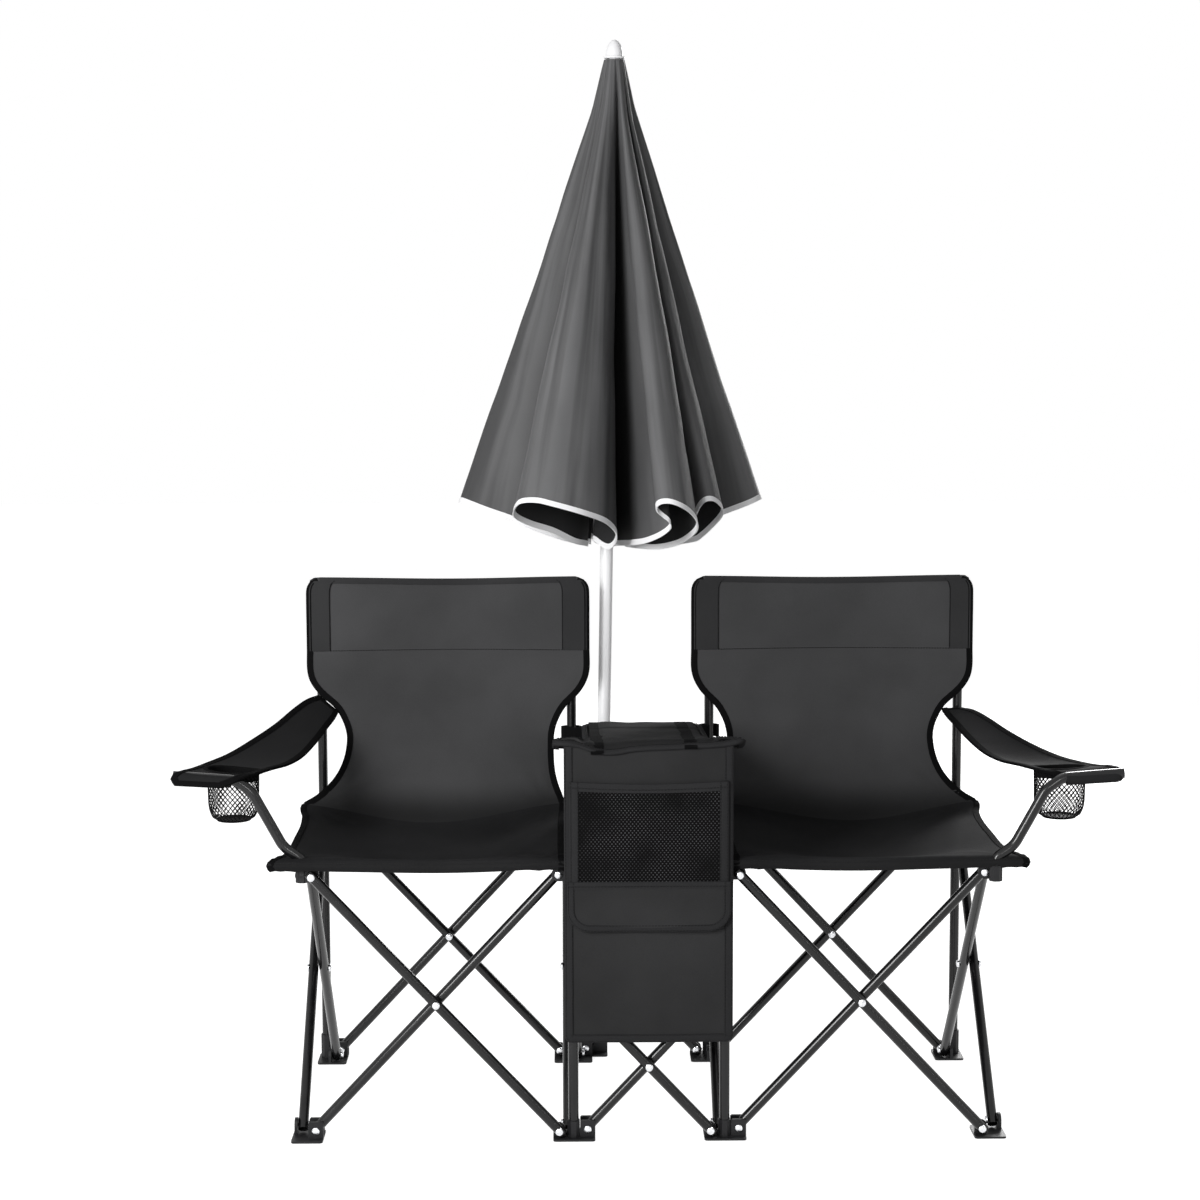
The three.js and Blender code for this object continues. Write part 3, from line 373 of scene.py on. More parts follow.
def darken(tree, share):
    """Darkens a cloth's colour: a share of 1 leaves it as it is, and 0 makes it black."""
    shader = tree.nodes["Principled BSDF"]
    colour = shader.inputs["Base Color"].links[0].from_socket
    mix = tree.nodes.new("ShaderNodeMix")
    mix.data_type = "RGBA"
    mix.inputs["A"].default_value = (0, 0, 0, 1)
    tree.links.new(colour, mix.inputs["B"])
    tree.links.new(share, mix.inputs["Factor"])
    tree.links.new(mix.outputs["Result"], shader.inputs["Base Color"])


def paint_low_shade(material, low, high, share):
    """Darkens a cloth towards a lower height: painted shade, where the cloth runs down into a crease."""
    tree = material.node_tree
    darken(tree, rise_of(tree, parts_of_place(tree)["Z"], low, high, share))


def make_tape(name, dark, light):
    """Binding tape and webbing, ribbed across its length."""
    material, tree, shader = new_material(name)
    rib = use(tree, WEAVE, Threads_per_metre=900.0)
    tree.links.new(two_tone(tree, rib.outputs["Thread"], dark, light), shader.inputs["Base Color"])
    shader.inputs["Roughness"].default_value = 0.85
    shader.inputs["Specular IOR Level"].default_value = 0.02
    tree.links.new(bump(tree, rib.outputs["Height"], 0.0004, 0.7), shader.inputs["Normal"])
    return material


def make_net_cloth():
    """The pocket's net lies on the panel, so its holes are drawn: staggered rows of grey dots."""
    material, tree, shader = new_material("pocket_net")
    parts = tree.nodes.new("ShaderNodeSeparateXYZ")
    tree.links.new(place(tree), parts.inputs[0])
    # two square grids, one shifted by half a cell, make the staggered rows of the net
    pitch = 0.0057
    row = maths(tree, "DIVIDE", parts.outputs["Z"], pitch * 0.6)
    odd = maths(tree, "MODULO", maths(tree, "FLOOR", row), 2)
    odd = maths(tree, "ABSOLUTE", odd)
    shifted = maths(tree, "ADD", maths(tree, "DIVIDE", parts.outputs["X"], pitch),
                    maths(tree, "MULTIPLY", odd, 0.5))
    x = maths(tree, "SUBTRACT", maths(tree, "FRACT", shifted), 0.5)
    z = maths(tree, "MULTIPLY", maths(tree, "SUBTRACT", maths(tree, "FRACT", row), 0.5), 0.6)
    far = maths(tree, "SQRT", maths(tree, "ADD", maths(tree, "MULTIPLY", x, x),
                                    maths(tree, "MULTIPLY", z, z)))
    hole = maths(tree, "SUBTRACT", 1.0,
                 maths(tree, "MULTIPLY", maths(tree, "SUBTRACT", far, 0.12), 9.0, clamp=True), clamp=True)
    cloud = use(tree, MOTTLING, Scale=14.0).outputs["Cloud"]
    shine = maths(tree, "MULTIPLY", hole, spread_of(tree, cloud, 0.12, 1.0))
    tree.links.new(two_tone(tree, shine, (0.0025, 0.0025, 0.0026), (0.085, 0.085, 0.088)),
                   shader.inputs["Base Color"])
    shader.inputs["Roughness"].default_value = 0.7
    shader.inputs["Specular IOR Level"].default_value = 0.04
    tree.links.new(bump(tree, hole, 0.0006, 0.8), shader.inputs["Normal"])
    return material


SEAT_CLOTH = make_cloth("seat_cloth", (0.012, 0.012, 0.0125), (0.026, 0.026, 0.027), 1500.0, 7.0,
                        0.004, 0.0, 0.85, 0.03)
SEAT_HEM = make_cloth("seat_hem_cloth", (0.01, 0.01, 0.0104), (0.019, 0.019, 0.0196), 1500.0, 12.0,
                      0.002, 0.02, 0.85, 0.06)
BACK_CLOTH = make_cloth("back_cloth", (0.038, 0.038, 0.039), (0.068, 0.068, 0.07), 1500.0, 6.0,
                        0.004, 0.03, 0.8, 0.1)
# painted shade: the back darkens down into the crease where it meets the seat
paint_low_shade(BACK_CLOTH, 0.432, 0.492, 0.3)
SLEEVE_CLOTH = make_cloth("sleeve_cloth", (0.022, 0.022, 0.023), (0.038, 0.038, 0.039), 1500.0, 12.0,
                          0.003, 0.02, 0.82, 0.08)
ARM_CLOTH = make_cloth("armrest_cloth", (0.014, 0.014, 0.0145), (0.026, 0.026, 0.027), 1500.0, 12.0,
                       0.003, 0.0, 0.85, 0.04)
LID_CLOTH = make_cloth("lid_cloth", (0.012, 0.012, 0.0124), (0.025, 0.025, 0.0256), 1500.0, 12.0,
                       0.003, 0.0, 0.85, 0.04)
PANEL_CLOTH = make_cloth("console_cloth", (0.015, 0.015, 0.0154), (0.034, 0.034, 0.035), 1500.0, 9.0,
                         0.004, 0.02, 0.8, 0.1)
CANOPY_CLOTH = make_cloth("canopy_cloth", (0.1, 0.1, 0.102), (0.145, 0.145, 0.148), 2200.0, 10.0,
                          0.004, 0.0, 0.55, 0.15)
# painted shade: a darker copy of the canopy cloth for its inner face, which gets little light
CANOPY_INSIDE_SHADE = make_cloth("canopy_inside_shade", (0.016, 0.016, 0.0165), (0.03, 0.03, 0.031), 2200.0, 10.0,
                           0.002, 0.0, 0.7, 0.1)
CANOPY_HEM = make_cloth("white_hem", (0.84, 0.84, 0.85), (0.9, 0.9, 0.91), 1500.0, 20.0, 0.001,
                        0.0, 0.7, 0.2)
TAPE = make_tape("black_binding_tape", (0.003, 0.003, 0.0032), (0.008, 0.008, 0.0083))
PANEL_TAPE = make_tape("console_binding_tape", (0.018, 0.018, 0.019), (0.034, 0.034, 0.035))
POCKET_NET = make_net_cloth()
THREAD = make_plastic("black_sewing_thread", (0.008, 0.008, 0.0085), (0.014, 0.014, 0.0145), 0.6, 0.7, 0.1)
NET_CORD = make_plastic("net_cord", (0.004, 0.004, 0.0043), (0.009, 0.009, 0.0093), 0.5, 0.6, 0.05)
print("soft finishes:", SEAT_CLOTH.name, CANOPY_CLOTH.name, TAPE.name, POCKET_NET.name)

# %% [markdown]
# Meshes are made from points and faces in plain functions. A surface is a pair of lists, and a
# piece is made of several surfaces, each with its own finish, so that a hem and its cloth stay
# one piece when the chair folds.

# %% Mesh helpers


def piece(name, parts, body, smooth=True):
    """One object from (surface, material) pairs, riding on a body of the chair."""
    points, faces, looks, materials = [], [], [], []
    for (part_points, part_faces), material in parts:
        if material not in materials:
            materials.append(material)
        base = len(points)
        points.extend(tuple(p) for p in part_points)
        faces.extend(tuple(base + i for i in face) for face in part_faces)
        looks.extend([materials.index(material)] * len(part_faces))
    mesh = bpy.data.meshes.new(name)
    mesh.from_pydata(points, [], faces)
    for material in materials:
        mesh.materials.append(material)
    mesh.polygons.foreach_set("material_index", looks)
    mesh.polygons.foreach_set("use_smooth", [smooth] * len(faces))
    mesh.validate()
    made = bpy.data.objects.new(name, mesh)
    bpy.context.scene.collection.objects.link(made)
    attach(made, body)
    return made


def soften(made, angle=40):
    """Smooth shading that keeps edges sharper than the angle."""
    made.data.set_sharp_from_angle(angle=math.radians(angle))
    return made


def grid_faces(columns, rows, base=0, flip=False, closed=False):
    """Faces of a grid of points stored row by row; closed joins the last column to the first."""
    faces = []
    across_count = columns if closed else columns - 1
    for j in range(rows - 1):
        for i in range(across_count):
            a, b = base + j * columns + i, base + j * columns + (i + 1) % columns
            c, d = b + columns, a + columns
            faces.append((d, c, b, a) if flip else (a, b, c, d))
    return faces


def ring_faces(around, size):
    """Faces of a section of size points that is drawn round a closed ring."""
    faces = []
    for k in range(around):
        row, following = k * size, (k + 1) % around * size
        for i in range(size):
            j = (i + 1) % size
            faces.append((row + i, row + j, following + j, following + i))
    return faces


def joined_rims(columns, rows, base):
    """Faces that join the rims of two equal grids of points, the second one starting at base."""
    rim = list(range(columns)) + [j * columns + columns - 1 for j in range(1, rows)]
    rim += [(rows - 1) * columns + i for i in range(columns - 2, -1, -1)]
    rim += [j * columns for j in range(rows - 2, 0, -1)]
    return [(b, a, base + a, base + b) for a, b in zip(rim, rim[1:] + rim[:1])]


def thinned(points, gap=0.0008):
    """The points of a line without those that lie too close to the one before."""
    line = []
    for p in points:
        if not line or (p - line[-1]).length > gap:
            line.append(p)
    return line


def ways_along(path):
    """Each point of a path with the direction of the path there."""
    last = len(path) - 1
    return [(p, (path[min(k + 1, last)] - path[max(k - 1, 0)]).normalized())
            for k, p in enumerate(path)]


def band_frames(path, wide):
    """Frames along a path for a band whose width always lies the same way."""
    return [(p, wide, along.cross(wide)) for p, along in ways_along(path)]


def ring_frames(path):
    """Two directions across the path at each of its points, carried along without twist."""
    frames = []
    side = None
    for point, along in ways_along(path):
        if side is None:
            side = Vector((0, 0, 1)).cross(along)
            if side.length < 0.1:
                side = Vector((0, 1, 0)).cross(along)
        side = (side - along * side.dot(along)).normalized()
        frames.append((point, side, along.cross(side)))
    return frames


def swept(path, section, frames=None):
    """A closed section drawn along a path, with both ends closed."""
    frames = frames or ring_frames(path)
    points = [p + s * a + t * b for p, s, t in frames for a, b in section]
    count = len(section)
    faces = grid_faces(count, len(frames), closed=True)
    faces.append(tuple(reversed(range(count))))
    faces.append(tuple(range(len(points) - count, len(points))))
    return points, faces


def circle(radius, sides):
    return [(radius * math.cos(math.tau * i / sides), radius * math.sin(math.tau * i / sides))
            for i in range(sides)]


def open_tube(path, radius=TUBE_RADIUS, wall=TUBE_WALL, sides=20):
    """A tube along a path with a real wall, and rings that close the wall at both ends."""
    frames = ring_frames(path)
    outer = [p + s * a + t * b for p, s, t in frames for a, b in circle(radius, sides)]
    inner = [p + s * a + t * b for p, s, t in frames for a, b in circle(radius - wall, sides)]
    base = len(outer)
    faces = grid_faces(sides, len(path), closed=True)
    faces += grid_faces(sides, len(path), base=base, flip=True, closed=True)
    last = (len(path) - 1) * sides
    for i in range(sides):
        k = (i + 1) % sides
        faces.append((k, i, base + i, base + k))
        faces.append((last + i, last + k, base + last + k, base + last + i))
    return outer + inner, faces


def turned_on(profile, at, axis, sides=24):
    """A profile of (radius, height) pairs turned about an axis through a point."""
    axis = Vector(axis).normalized()
    side = axis.orthogonal().normalized()
    other = axis.cross(side)
    points = []
    for radius, height in profile:
        for a, b in circle(radius, sides):
            points.append(Vector(at) + axis * height + side * a + other * b)
    faces = grid_faces(sides, len(profile), closed=True)
    faces.append(tuple(reversed(range(sides))))
    faces.append(tuple(range(len(points) - sides, len(points))))
    return points, faces


def both_sides(at, columns, rows, thickness):
    """A cloth of even thickness over a function at(u, v), with u and v from 0 to 1."""
    grid = [[at(i / (columns - 1), j / (rows - 1)) for i in range(columns)] for j in range(rows)]
    upper, lower = [], []
    for j in range(rows):
        for i in range(columns):
            du = grid[j][min(i + 1, columns - 1)] - grid[j][max(i - 1, 0)]
            dv = grid[min(j + 1, rows - 1)][i] - grid[max(j - 1, 0)][i]
            normal = du.cross(dv).normalized()
            upper.append(grid[j][i] + normal * thickness / 2)
            lower.append(grid[j][i] - normal * thickness / 2)
    base = len(upper)
    faces = grid_faces(columns, rows) + grid_faces(columns, rows, base=base, flip=True)
    return upper + lower, faces + joined_rims(columns, rows, base)


def tape_along(at, edge, width, half, count=40, lip=0.0012):
    """Binding tape folded over an edge of the cloth at(u, v). edge is a function of 0 to 1 that
    gives (u, v) and the way (du, dv) that leads into the cloth."""
    frames = []
    for k in range(count + 1):
        (u, v), (du, dv) = edge(k / count)
        here = at(u, v)
        inward = at(u + du * 0.02, v + dv * 0.02) - here
        (u0, v0), _ = edge(max(k / count - 0.01, 0))
        (u1, v1), _ = edge(min(k / count + 0.01, 1))
        along = (at(u1, v1) - at(u0, v0)).normalized()
        inward = (inward - along * inward.dot(along)).normalized()
        frames.append((here, inward, along.cross(inward)))
    section = [(-lip, 0), (-lip * 0.6, half * 0.7), (lip, half), (width, half),
               (width, -half), (lip, -half), (-lip * 0.6, -half * 0.7)]
    return swept(None, section, frames)


def smooth_through(stations, key):
    """A smooth value at any place between stations, each a dict with "t" from 0 to 1."""
    ts = [s["t"] for s in stations]
    values = [s[key] for s in stations]
    count = len(ts)
    slopes = []
    for i in range(count):
        a, b = max(i - 1, 0), min(i + 1, count - 1)
        slopes.append((values[b] - values[a]) / (ts[b] - ts[a]))

    def value(t):
        k = 0
        while k < count - 2 and t > ts[k + 1]:
            k += 1
        span = ts[k + 1] - ts[k]
        s = (t - ts[k]) / span
        return ((2 * s**3 - 3 * s**2 + 1) * values[k] + (s**3 - 2 * s**2 + s) * span * slopes[k]
                + (3 * s**2 - 2 * s**3) * values[k + 1] + (s**3 - s**2) * span * slopes[k + 1])

    return value


def cut_of(at, columns=40, rows=40):
    """What a cloth over at(u, v) was cut from: its widest and its longest run, and its area."""
    grid = [[at(i / columns, j / rows) for i in range(columns + 1)] for j in range(rows + 1)]
    area = 0
    for j in range(rows):
        for i in range(columns):
            a, b, c, d = grid[j][i], grid[j][i + 1], grid[j + 1][i + 1], grid[j + 1][i]
            area += (b - a).cross(c - a).length / 2 + (c - a).cross(d - a).length / 2
    across = max(sum((row[i + 1] - row[i]).length for i in range(columns)) for row in grid)
    down = max(sum((grid[j + 1][i] - grid[j][i]).length for j in range(rows)) for i in range(columns + 1))
    return (round(across, 3), round(down, 3)), round(area, 4)


print("mesh helpers ready")

# %% [markdown]
# The braces are straight tubes, 16 mm across. Each crossing pair is riveted in its middle, and one
# tube lies in front of the other. A brace is found from its crossing's pivot and the slope that
# the pivots give, so it lies exactly where the CAD tube does, only rounder.

# %% Braces


def brace_path(side, place_name, letter):
    """The two ends of a brace, a little beyond its end pivots."""
    middle = pivot(f"{side}_{place_name}_cross" if side != "centre" else f"centre_{place_name}_cross")
    run, rise = (CENTRE_RUN, CENTRE_RISE) if side == "centre" else (SEAT_RUN, SEAT_RISE)
    if place_name in ("front", "rear"):
        toward = Vector((run, 0, -rise if letter == "a" else rise)).normalized()
        offset = Vector((0, -SIDE_STEP if letter == "a" else SIDE_STEP, 0))
    else:
        toward = Vector((0, run, rise if letter == "a" else -rise)).normalized()
        outward = -1 if side == "left" else 1
        if place_name == "inner":
            outward = -1
        offset = Vector((outward * (SIDE_STEP if letter == "a" else -SIDE_STEP), 0, 0))
    half = math.hypot(run, rise) / 2 + END_MARGIN
    return [middle + offset - toward * half, middle + offset + toward * half]


def body_of_node(node):
    return next(b for b, nodes in frame["record"]["behaviour"]["bodies"].items() if node in nodes)


def straight(start, end, count=2):
    return [start.lerp(end, i / (count - 1)) for i in range(count)]


brace_names = [n for n in frame["nodes"] if n.startswith("brace_")]
for node in sorted(brace_names):
    _, side, place_name, letter = node.split("_")
    tube = piece(f"{node}_tube", [(open_tube(brace_path(side, place_name, letter)), PAINT)],
                 body_of_node(node))
    soften(tube)
    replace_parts(tube, node)
print(len(brace_names), "braces")

# %% [markdown]
# The posts are straight tubes, open at both ends, and the rear ones reach up under the sleeves of
# the backs. The two arm posts are bent twice, so their path runs through the same bends as the CAD
# tube, with each corner rounded.

# %% Posts


def rounded_path(points, bend, steps=7):
    """Straight runs whose corners are rounded over the given length."""
    path = [points[0]]
    for before, corner, after in zip(points, points[1:], points[2:]):
        into = corner + (before - corner).normalized() * bend
        out_of = corner + (after - corner).normalized() * bend
        for k in range(steps):
            t = k / (steps - 1)
            path.append(into.lerp(corner, t).lerp(corner.lerp(out_of, t), t))
    return path + [points[-1]]


def post_tube(node):
    low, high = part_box(node)
    middle = (low + high) / 2
    start, end = Vector((middle.x, middle.y, low.z)), Vector((middle.x, middle.y, high.z))
    made = piece(f"{node}_tube", [(open_tube(straight(start, end)), PAINT)],
                 body_of_node(node))
    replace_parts(soften(made), node)


for node in sorted(n for n in frame["nodes"] if n.startswith("post_")):
    post_tube(node)

ARM_CORNERS = [(0.532, 0.441), (0.560, 0.460), (0.607, 0.546), (0.632, 0.564), (0.726, 0.571)]
ARM_BEND = 0.010
for side, sign in (("left", -1), ("right", 1)):
    node = f"arm_post_{side}"
    low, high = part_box(node)
    y = (low.y + high.y) / 2
    corners = [Vector((sign * ARM_CORNERS[0][0], y, low.z))]
    corners += [Vector((sign * x, y, z)) for x, z in ARM_CORNERS]
    made = piece(f"{node}_tube", [(open_tube(rounded_path(corners, ARM_BEND)), PAINT)],
                 body_of_node(node))
    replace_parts(soften(made), node)
print("posts and arm posts made")

# %% [markdown]
# Every pivot ends in a bright rivet head. The heads are turned shapes, a low dome on a short rim,
# and each lies over the small head of the CAD rivet. Where a head sits depends on which side of
# the brace its plate stands, so one function works this out for all feet, sleeves and brackets.

# %% Rivets
CLEAR = 0.0083
PLATE = 0.0046
BACK_PLANE = REAR
POST_X = 0.117
OUTER_X = 0.516
SIDE_X = 0.530
FORK = 0.022
INBOARD = 0.028
CENTRE_TOP = pivot("centre_front_right_slider_turn").z
DOME = [(0.0060, -0.0003), (0.0060, 0.0017), (0.0057, 0.0024), (0.0047, 0.0030),
        (0.0030, 0.0035), (0.0012, 0.0038), (0.0002, 0.0038)]
TOWARD_FRONT = Vector((0, -1, 0))
TOWARD_REAR = Vector((0, 1, 0))


def hold_domes(x, z, plane, rises, boxed=False, flush=False):
    y = plane + (SIDE_STEP if rises else -SIDE_STEP)
    if rises or boxed:
        domes = [((x, y - CLEAR - PLATE, z), TOWARD_FRONT)]
    else:
        domes = [((x, y - CLEAR, z), TOWARD_FRONT)]
    if rises and not boxed and not flush:
        domes.append(((x, y + CLEAR, z), TOWARD_REAR))
    return domes


def side_dome(x, y, z, ear):
    return [((x - ear * CLEAR, y, z), Vector((-ear, 0, 0)))]


rivets = {}
for side, sign in (("left", -1), ("right", 1)):
    leftward = sign < 0
    for row, plane, way in (("front", FRONT, 1), ("rear", BACK_PLANE, -1)):
        inner = sign * POST_X
        y = plane + way * INBOARD
        rivets[f"foot_{row}_inner_{side}"] = (
            hold_domes(inner - FORK, FOOT_PIVOT, plane, False)
            + hold_domes(inner + FORK, FOOT_PIVOT, plane, True, boxed=True)
            + side_dome(inner - way * SIDE_STEP, y, FOOT_PIVOT, way))
        rivets[f"foot_{row}_outer_{side}"] = (
            hold_domes(sign * OUTER_X, FOOT_PIVOT, plane, leftward, boxed=leftward,
                       flush=not leftward)
            + side_dome(sign * (SIDE_X + way * SIDE_STEP), y, FOOT_PIVOT, sign))
        rivets[f"slider_centre_{row}_{side}"] = hold_domes(
            sign * (POST_X - FORK), CENTRE_TOP, plane, not leftward)
    seat_hold = sign * (POST_X + FORK)
    front_y, rear_y = FRONT + INBOARD, BACK_PLANE - INBOARD
    rivets[f"slider_front_{side}"] = (
        hold_domes(seat_hold, SEAT_TOP, FRONT, leftward)
        + side_dome(sign * POST_X + SIDE_STEP, front_y, SEAT_TOP, -1))
    rivets[f"slider_rear_inner_{side}"] = (
        hold_domes(seat_hold, SEAT_TOP, BACK_PLANE, leftward)
        + side_dome(sign * POST_X - SIDE_STEP, rear_y, SEAT_TOP, 1))
    rivets[f"slider_rear_outer_{side}"] = (
        hold_domes(sign * OUTER_X, SEAT_TOP, BACK_PLANE, not leftward)
        + side_dome(sign * (SIDE_X + SIDE_STEP), rear_y, SEAT_TOP, sign))
    rivets[f"bracket_front_{side}"] = (
        hold_domes(sign * OUTER_X, SEAT_TOP, FRONT, not leftward, flush=not leftward)
        + side_dome(sign * (SIDE_X - SIDE_STEP), front_y, SEAT_TOP, sign))

PIN_FAR = 3 * TUBE_RADIUS + 0.0013
for node in sorted(n for n in brace_names if n.endswith("_a")):
    _, side, place_name, letter = node.split("_")
    middle = pivot(f"{side}_{place_name}_cross")
    if place_name in ("front", "rear"):
        at, way = middle - Vector((0, SIDE_STEP, 0)), TOWARD_REAR
    else:
        out = -1 if side == "left" or place_name == "inner" else 1
        at, way = middle + Vector((out * SIDE_STEP, 0, 0)), Vector((-out, 0, 0))
    rivets[node] = [(tuple(at - way * TUBE_RADIUS), -way), (tuple(at + way * PIN_FAR), way)]

for node, domes in sorted(rivets.items()):
    heads = [(turned_on(DOME, at, way, 20), ZINC) for at, way in domes]
    soften(piece(f"rivets_{node}", heads, body_of_node(node)))
print(sum(len(d) for d in rivets.values()), "rivet heads on", len(rivets), "pieces")

# %% [markdown]
# The moulded feet, sleeves and brackets keep their CAD shape. They only get the plastic.

# %% Finish of the moulded parts
for name, node in frame["nodes"].items():
    if name.startswith(("foot_", "slider_", "bracket_")):
        for material_slot in node.material_slots:
            material_slot.material = PLASTIC
print("moulded parts finished")

# %% [markdown]
# The cloth is easier to lay out in the millimetres of the drawing, measured back from the front
# posts. One helper turns such a place into a point of the scene.

# %% Places on the drawing


def at_mm(x, y, z):
    return Vector((x / 1000, FRONT + y / 1000, z / 1000))


def part_of(at, u0, u1, v0, v1):
    """The part of a cloth between two values of u and of v."""
    return lambda u, v: at(u0 + (u1 - u0) * u, v0 + (v1 - v0) * v)


def edge_of(which, start=0.0, end=1.0):
    """An edge of a cloth for its tape: where it runs, and which way leads into the cloth."""
    def edge(t):
        s = start + (end - start) * t
        return {"u0": ((0.0, s), (1, 0)), "u1": ((1.0, s), (-1, 0)),
                "v0": ((s, 0.0), (0, 1)), "v1": ((s, 1.0), (0, -1))}[which]
    return edge


print("front posts at", at_mm(0, 0, 0).y)

# %% [markdown]
# Each seat is one sewn sling. It runs from the front corners over a crease to the top of the back,
# and the back narrows to a waist above the armrests. The shape is laid out as stations along its
# length: how far its two edges stand out, and how high and how far back its edges and its middle
# lie. Smooth curves through the stations give the cloth, and it sags between its edges.

# %% Sling shape
SEAT_TRACK = [
    # share of the seat's length, outer edge, inner edge, edge (y, z), middle (y, z)
    (0.000, 578, 129, (-13, 427), (-13, 424)),
    (0.022, 583, 129, (-16, 434), (-16, 432)),
    (0.040, 581, 129, (-14, 440), (-14, 439)),
    (0.060, 577, 130, (-4, 442), (-5, 441)),
    (0.14, 567, 130, (44, 438), (40, 430)),
    (0.30, 564, 131, (117, 433), (94, 413)),
    (0.50, 564, 131, (204, 433), (166, 412)),
    (0.72, 565, 131, (300, 433), (246, 415)),
    (0.90, 570, 130, (378, 434), (312, 420)),
]
BACK_TRACK = [
    # height of the edges, outer edge, inner edge, middle (y, z)
    (446, 575, 129, (350, 427)),
    (461, 551, 134, (376, 441)),
    (480, 529, 141, (397, 466)),
    (501, 513, 146, (411, 492)),
    (526, 502, 148, (421, 521)),
    (551, 497, 148, (428, 549)),
    (568, 497, 147, (431, 567)),
    (589, 503, 141, (434, 589)),
    (612, 516, 128, (436, 612)),
    (637, 543, 104, (437, 637)),
    (657, 557, 92, (437, 657)),
    (677, 562, 87, (437, 677)),
    (709, 562, 87, (437, 709)),
    (750, 562, 87, (436, 750)),
    (800, 562, 87, (434, 799)),
    (815, 561, 88, (433, 813)),
    (825, 556, 93, (432, 822)),
    (830, 549, 100, (432, 827)),
    (833, 540, 109, (432, 829)),
]
SEAT_LENGTH, BACK_LENGTH, EDGE_Y = 434, 390, 420.6
sling_stations = []
for share, out, inn, edge_at, middle_at in SEAT_TRACK:
    sling_stations.append({"t": share * SEAT_LENGTH, "out": out, "inn": inn, "ey": edge_at[0],
                           "ez": edge_at[1], "my": middle_at[0], "mz": middle_at[1]})
for z, out, inn, middle_at in BACK_TRACK:
    t = SEAT_LENGTH + (z - BACK_TRACK[0][0]) / (BACK_TRACK[-1][0] - BACK_TRACK[0][0]) * BACK_LENGTH
    sling_stations.append({"t": t, "out": out, "inn": inn, "ey": EDGE_Y, "ez": z,
                           "my": middle_at[0], "mz": middle_at[1]})
SLING_LENGTH = sling_stations[-1]["t"]
for station in sling_stations:
    station["t"] /= SLING_LENGTH
CREASE = SEAT_LENGTH / SLING_LENGTH
sling_curve = {key: smooth_through(sling_stations, key) for key in ("out", "inn", "ey", "ez", "my", "mz")}


def sling_shape(sign):
    """The cloth's middle surface: u from the outer edge to the inner one, v from front to top."""
    def at(u, v):
        value = {key: curve(min(max(v, 0), 1)) for key, curve in sling_curve.items()}
        sag = 0.65 * math.sin(math.pi * u) ** 2 + 0.35 * math.sin(math.pi * u)
        x = value["out"] + (value["inn"] - value["out"]) * u
        y = value["ey"] + (value["my"] - value["ey"]) * sag
        z = value["ez"] + (value["mz"] - value["ez"]) * sag
        # pulls run from the four held corners into the seat, and fade towards its middle
        pull = 0
        for cu, cv in ((0.04, 0.03), (0.96, 0.03), (0.05, CREASE), (0.95, CREASE)):
            du, dv = (u - cu) * 0.43, (v - cv) * 0.82
            far = math.hypot(du, dv)
            pull += math.sin(9 * math.atan2(dv, abs(du) + 0.001)) * math.exp(-far * 14) * min(far * 30, 1)
        ripple = 1.1 * math.sin(7.5 * u + 3.1 * v) * math.sin(math.pi * u) * math.sin(9 * v + 1.3)
        y -= (1.6 * pull + 0.6 * ripple) * (1 if v > CREASE else 0.2)
        z += (1.6 * pull + ripple) * (0.2 if v > CREASE else 1)
        return at_mm(sign * x, y, z)
    return at


sample = sling_shape(-1)
print("crease at", [round(c, 3) for c in sample(0.5, CREASE)], "top", [round(c, 3) for c in sample(0.5, 1)])

# %% [markdown]
# The back hangs on the two rear posts by sleeves, so it rides with the body that holds its inner
# post. The seat is held at its four corners, and each quarter of it rides with the tube that rises
# to that corner.

# %% Slings
CLOTH = 0.0020
HEM_SHARE = 0.021
SEAM_Z = 709  # height of the seam under the sleeves, in millimetres
SLEEVE_EDGES = (524, 131.5)  # how far the sleeves' inner edges lie from the chair's middle
POST_BACK = 433  # how far the rear posts stand behind the front ones
TAPE_HALF = 0.0021
TAPE_WIDTH = 0.0095
SEAM = circle(0.0007, 6)  # section of a stitch


def away_from(at, u, v):
    """The direction straight off a cloth, towards the side that u and v wind round."""
    du = at(u + 0.004, v) - at(u - 0.004, v)
    dv = at(u, v + 0.004) - at(u, v - 0.004)
    return du.cross(dv).normalized()


def on_surface(at, uv_points, lift):
    """Points on a cloth, lifted off it."""
    return [at(u, v) + away_from(at, u, v) * lift for u, v in uv_points]


def stitched(line, length, pitch):
    """Short raised stitches along a line of points, one at every pitch."""
    points, faces, run, due = [], [], 0.0, 0.0
    for a, b in zip(line, line[1:]):
        step = (b - a).length
        while step > 0 and due < run + step:
            start = a.lerp(b, (due - run) / step)
            end = start + (b - a).normalized() * length
            bead_points, bead_faces = swept([start, start.lerp(end, 0.5), end], SEAM)
            base = len(points)
            points += bead_points
            faces += [tuple(base + i for i in face) for face in bead_faces]
            due += pitch
        run += step
    return points, faces


def stitches(at, uv_points, lift):
    """A row of stitches along a line on a cloth."""
    return stitched(on_surface(at, uv_points, lift), 0.0030, 0.0046)


def strip_on(at, uv_points, width, lift, thick=0.0010):
    """A flat strip of tape that lies on a cloth along a line."""
    frames = []
    for (u, v), (p, along) in zip(uv_points, ways_along(on_surface(at, uv_points, lift))):
        up = away_from(at, u, v)
        frames.append((p, along.cross(up).normalized(), up))
    half = width / 2
    section = [(-half, 0), (-half * 0.9, thick), (half * 0.9, thick), (half, 0), (0, -0.0004)]
    return swept(None, section, frames)


def u_of_x(at, x_mm, v):
    """The u at which a sling is x_mm away from the middle of the chair."""
    low, high = 0.0, 1.0
    for _ in range(30):
        middle = (low + high) / 2
        if abs(at(middle, v).x) * 1000 > x_mm:
            low = middle
        else:
            high = middle
    return (low + high) / 2


def v_of_z(at, z_mm):
    """The v at which a sling's outer edge reaches a height."""
    low, high = CREASE, 1.0
    for _ in range(30):
        middle = (low + high) / 2
        if at(0.0, middle).z * 1000 < z_mm:
            low = middle
        else:
            high = middle
    return (low + high) / 2


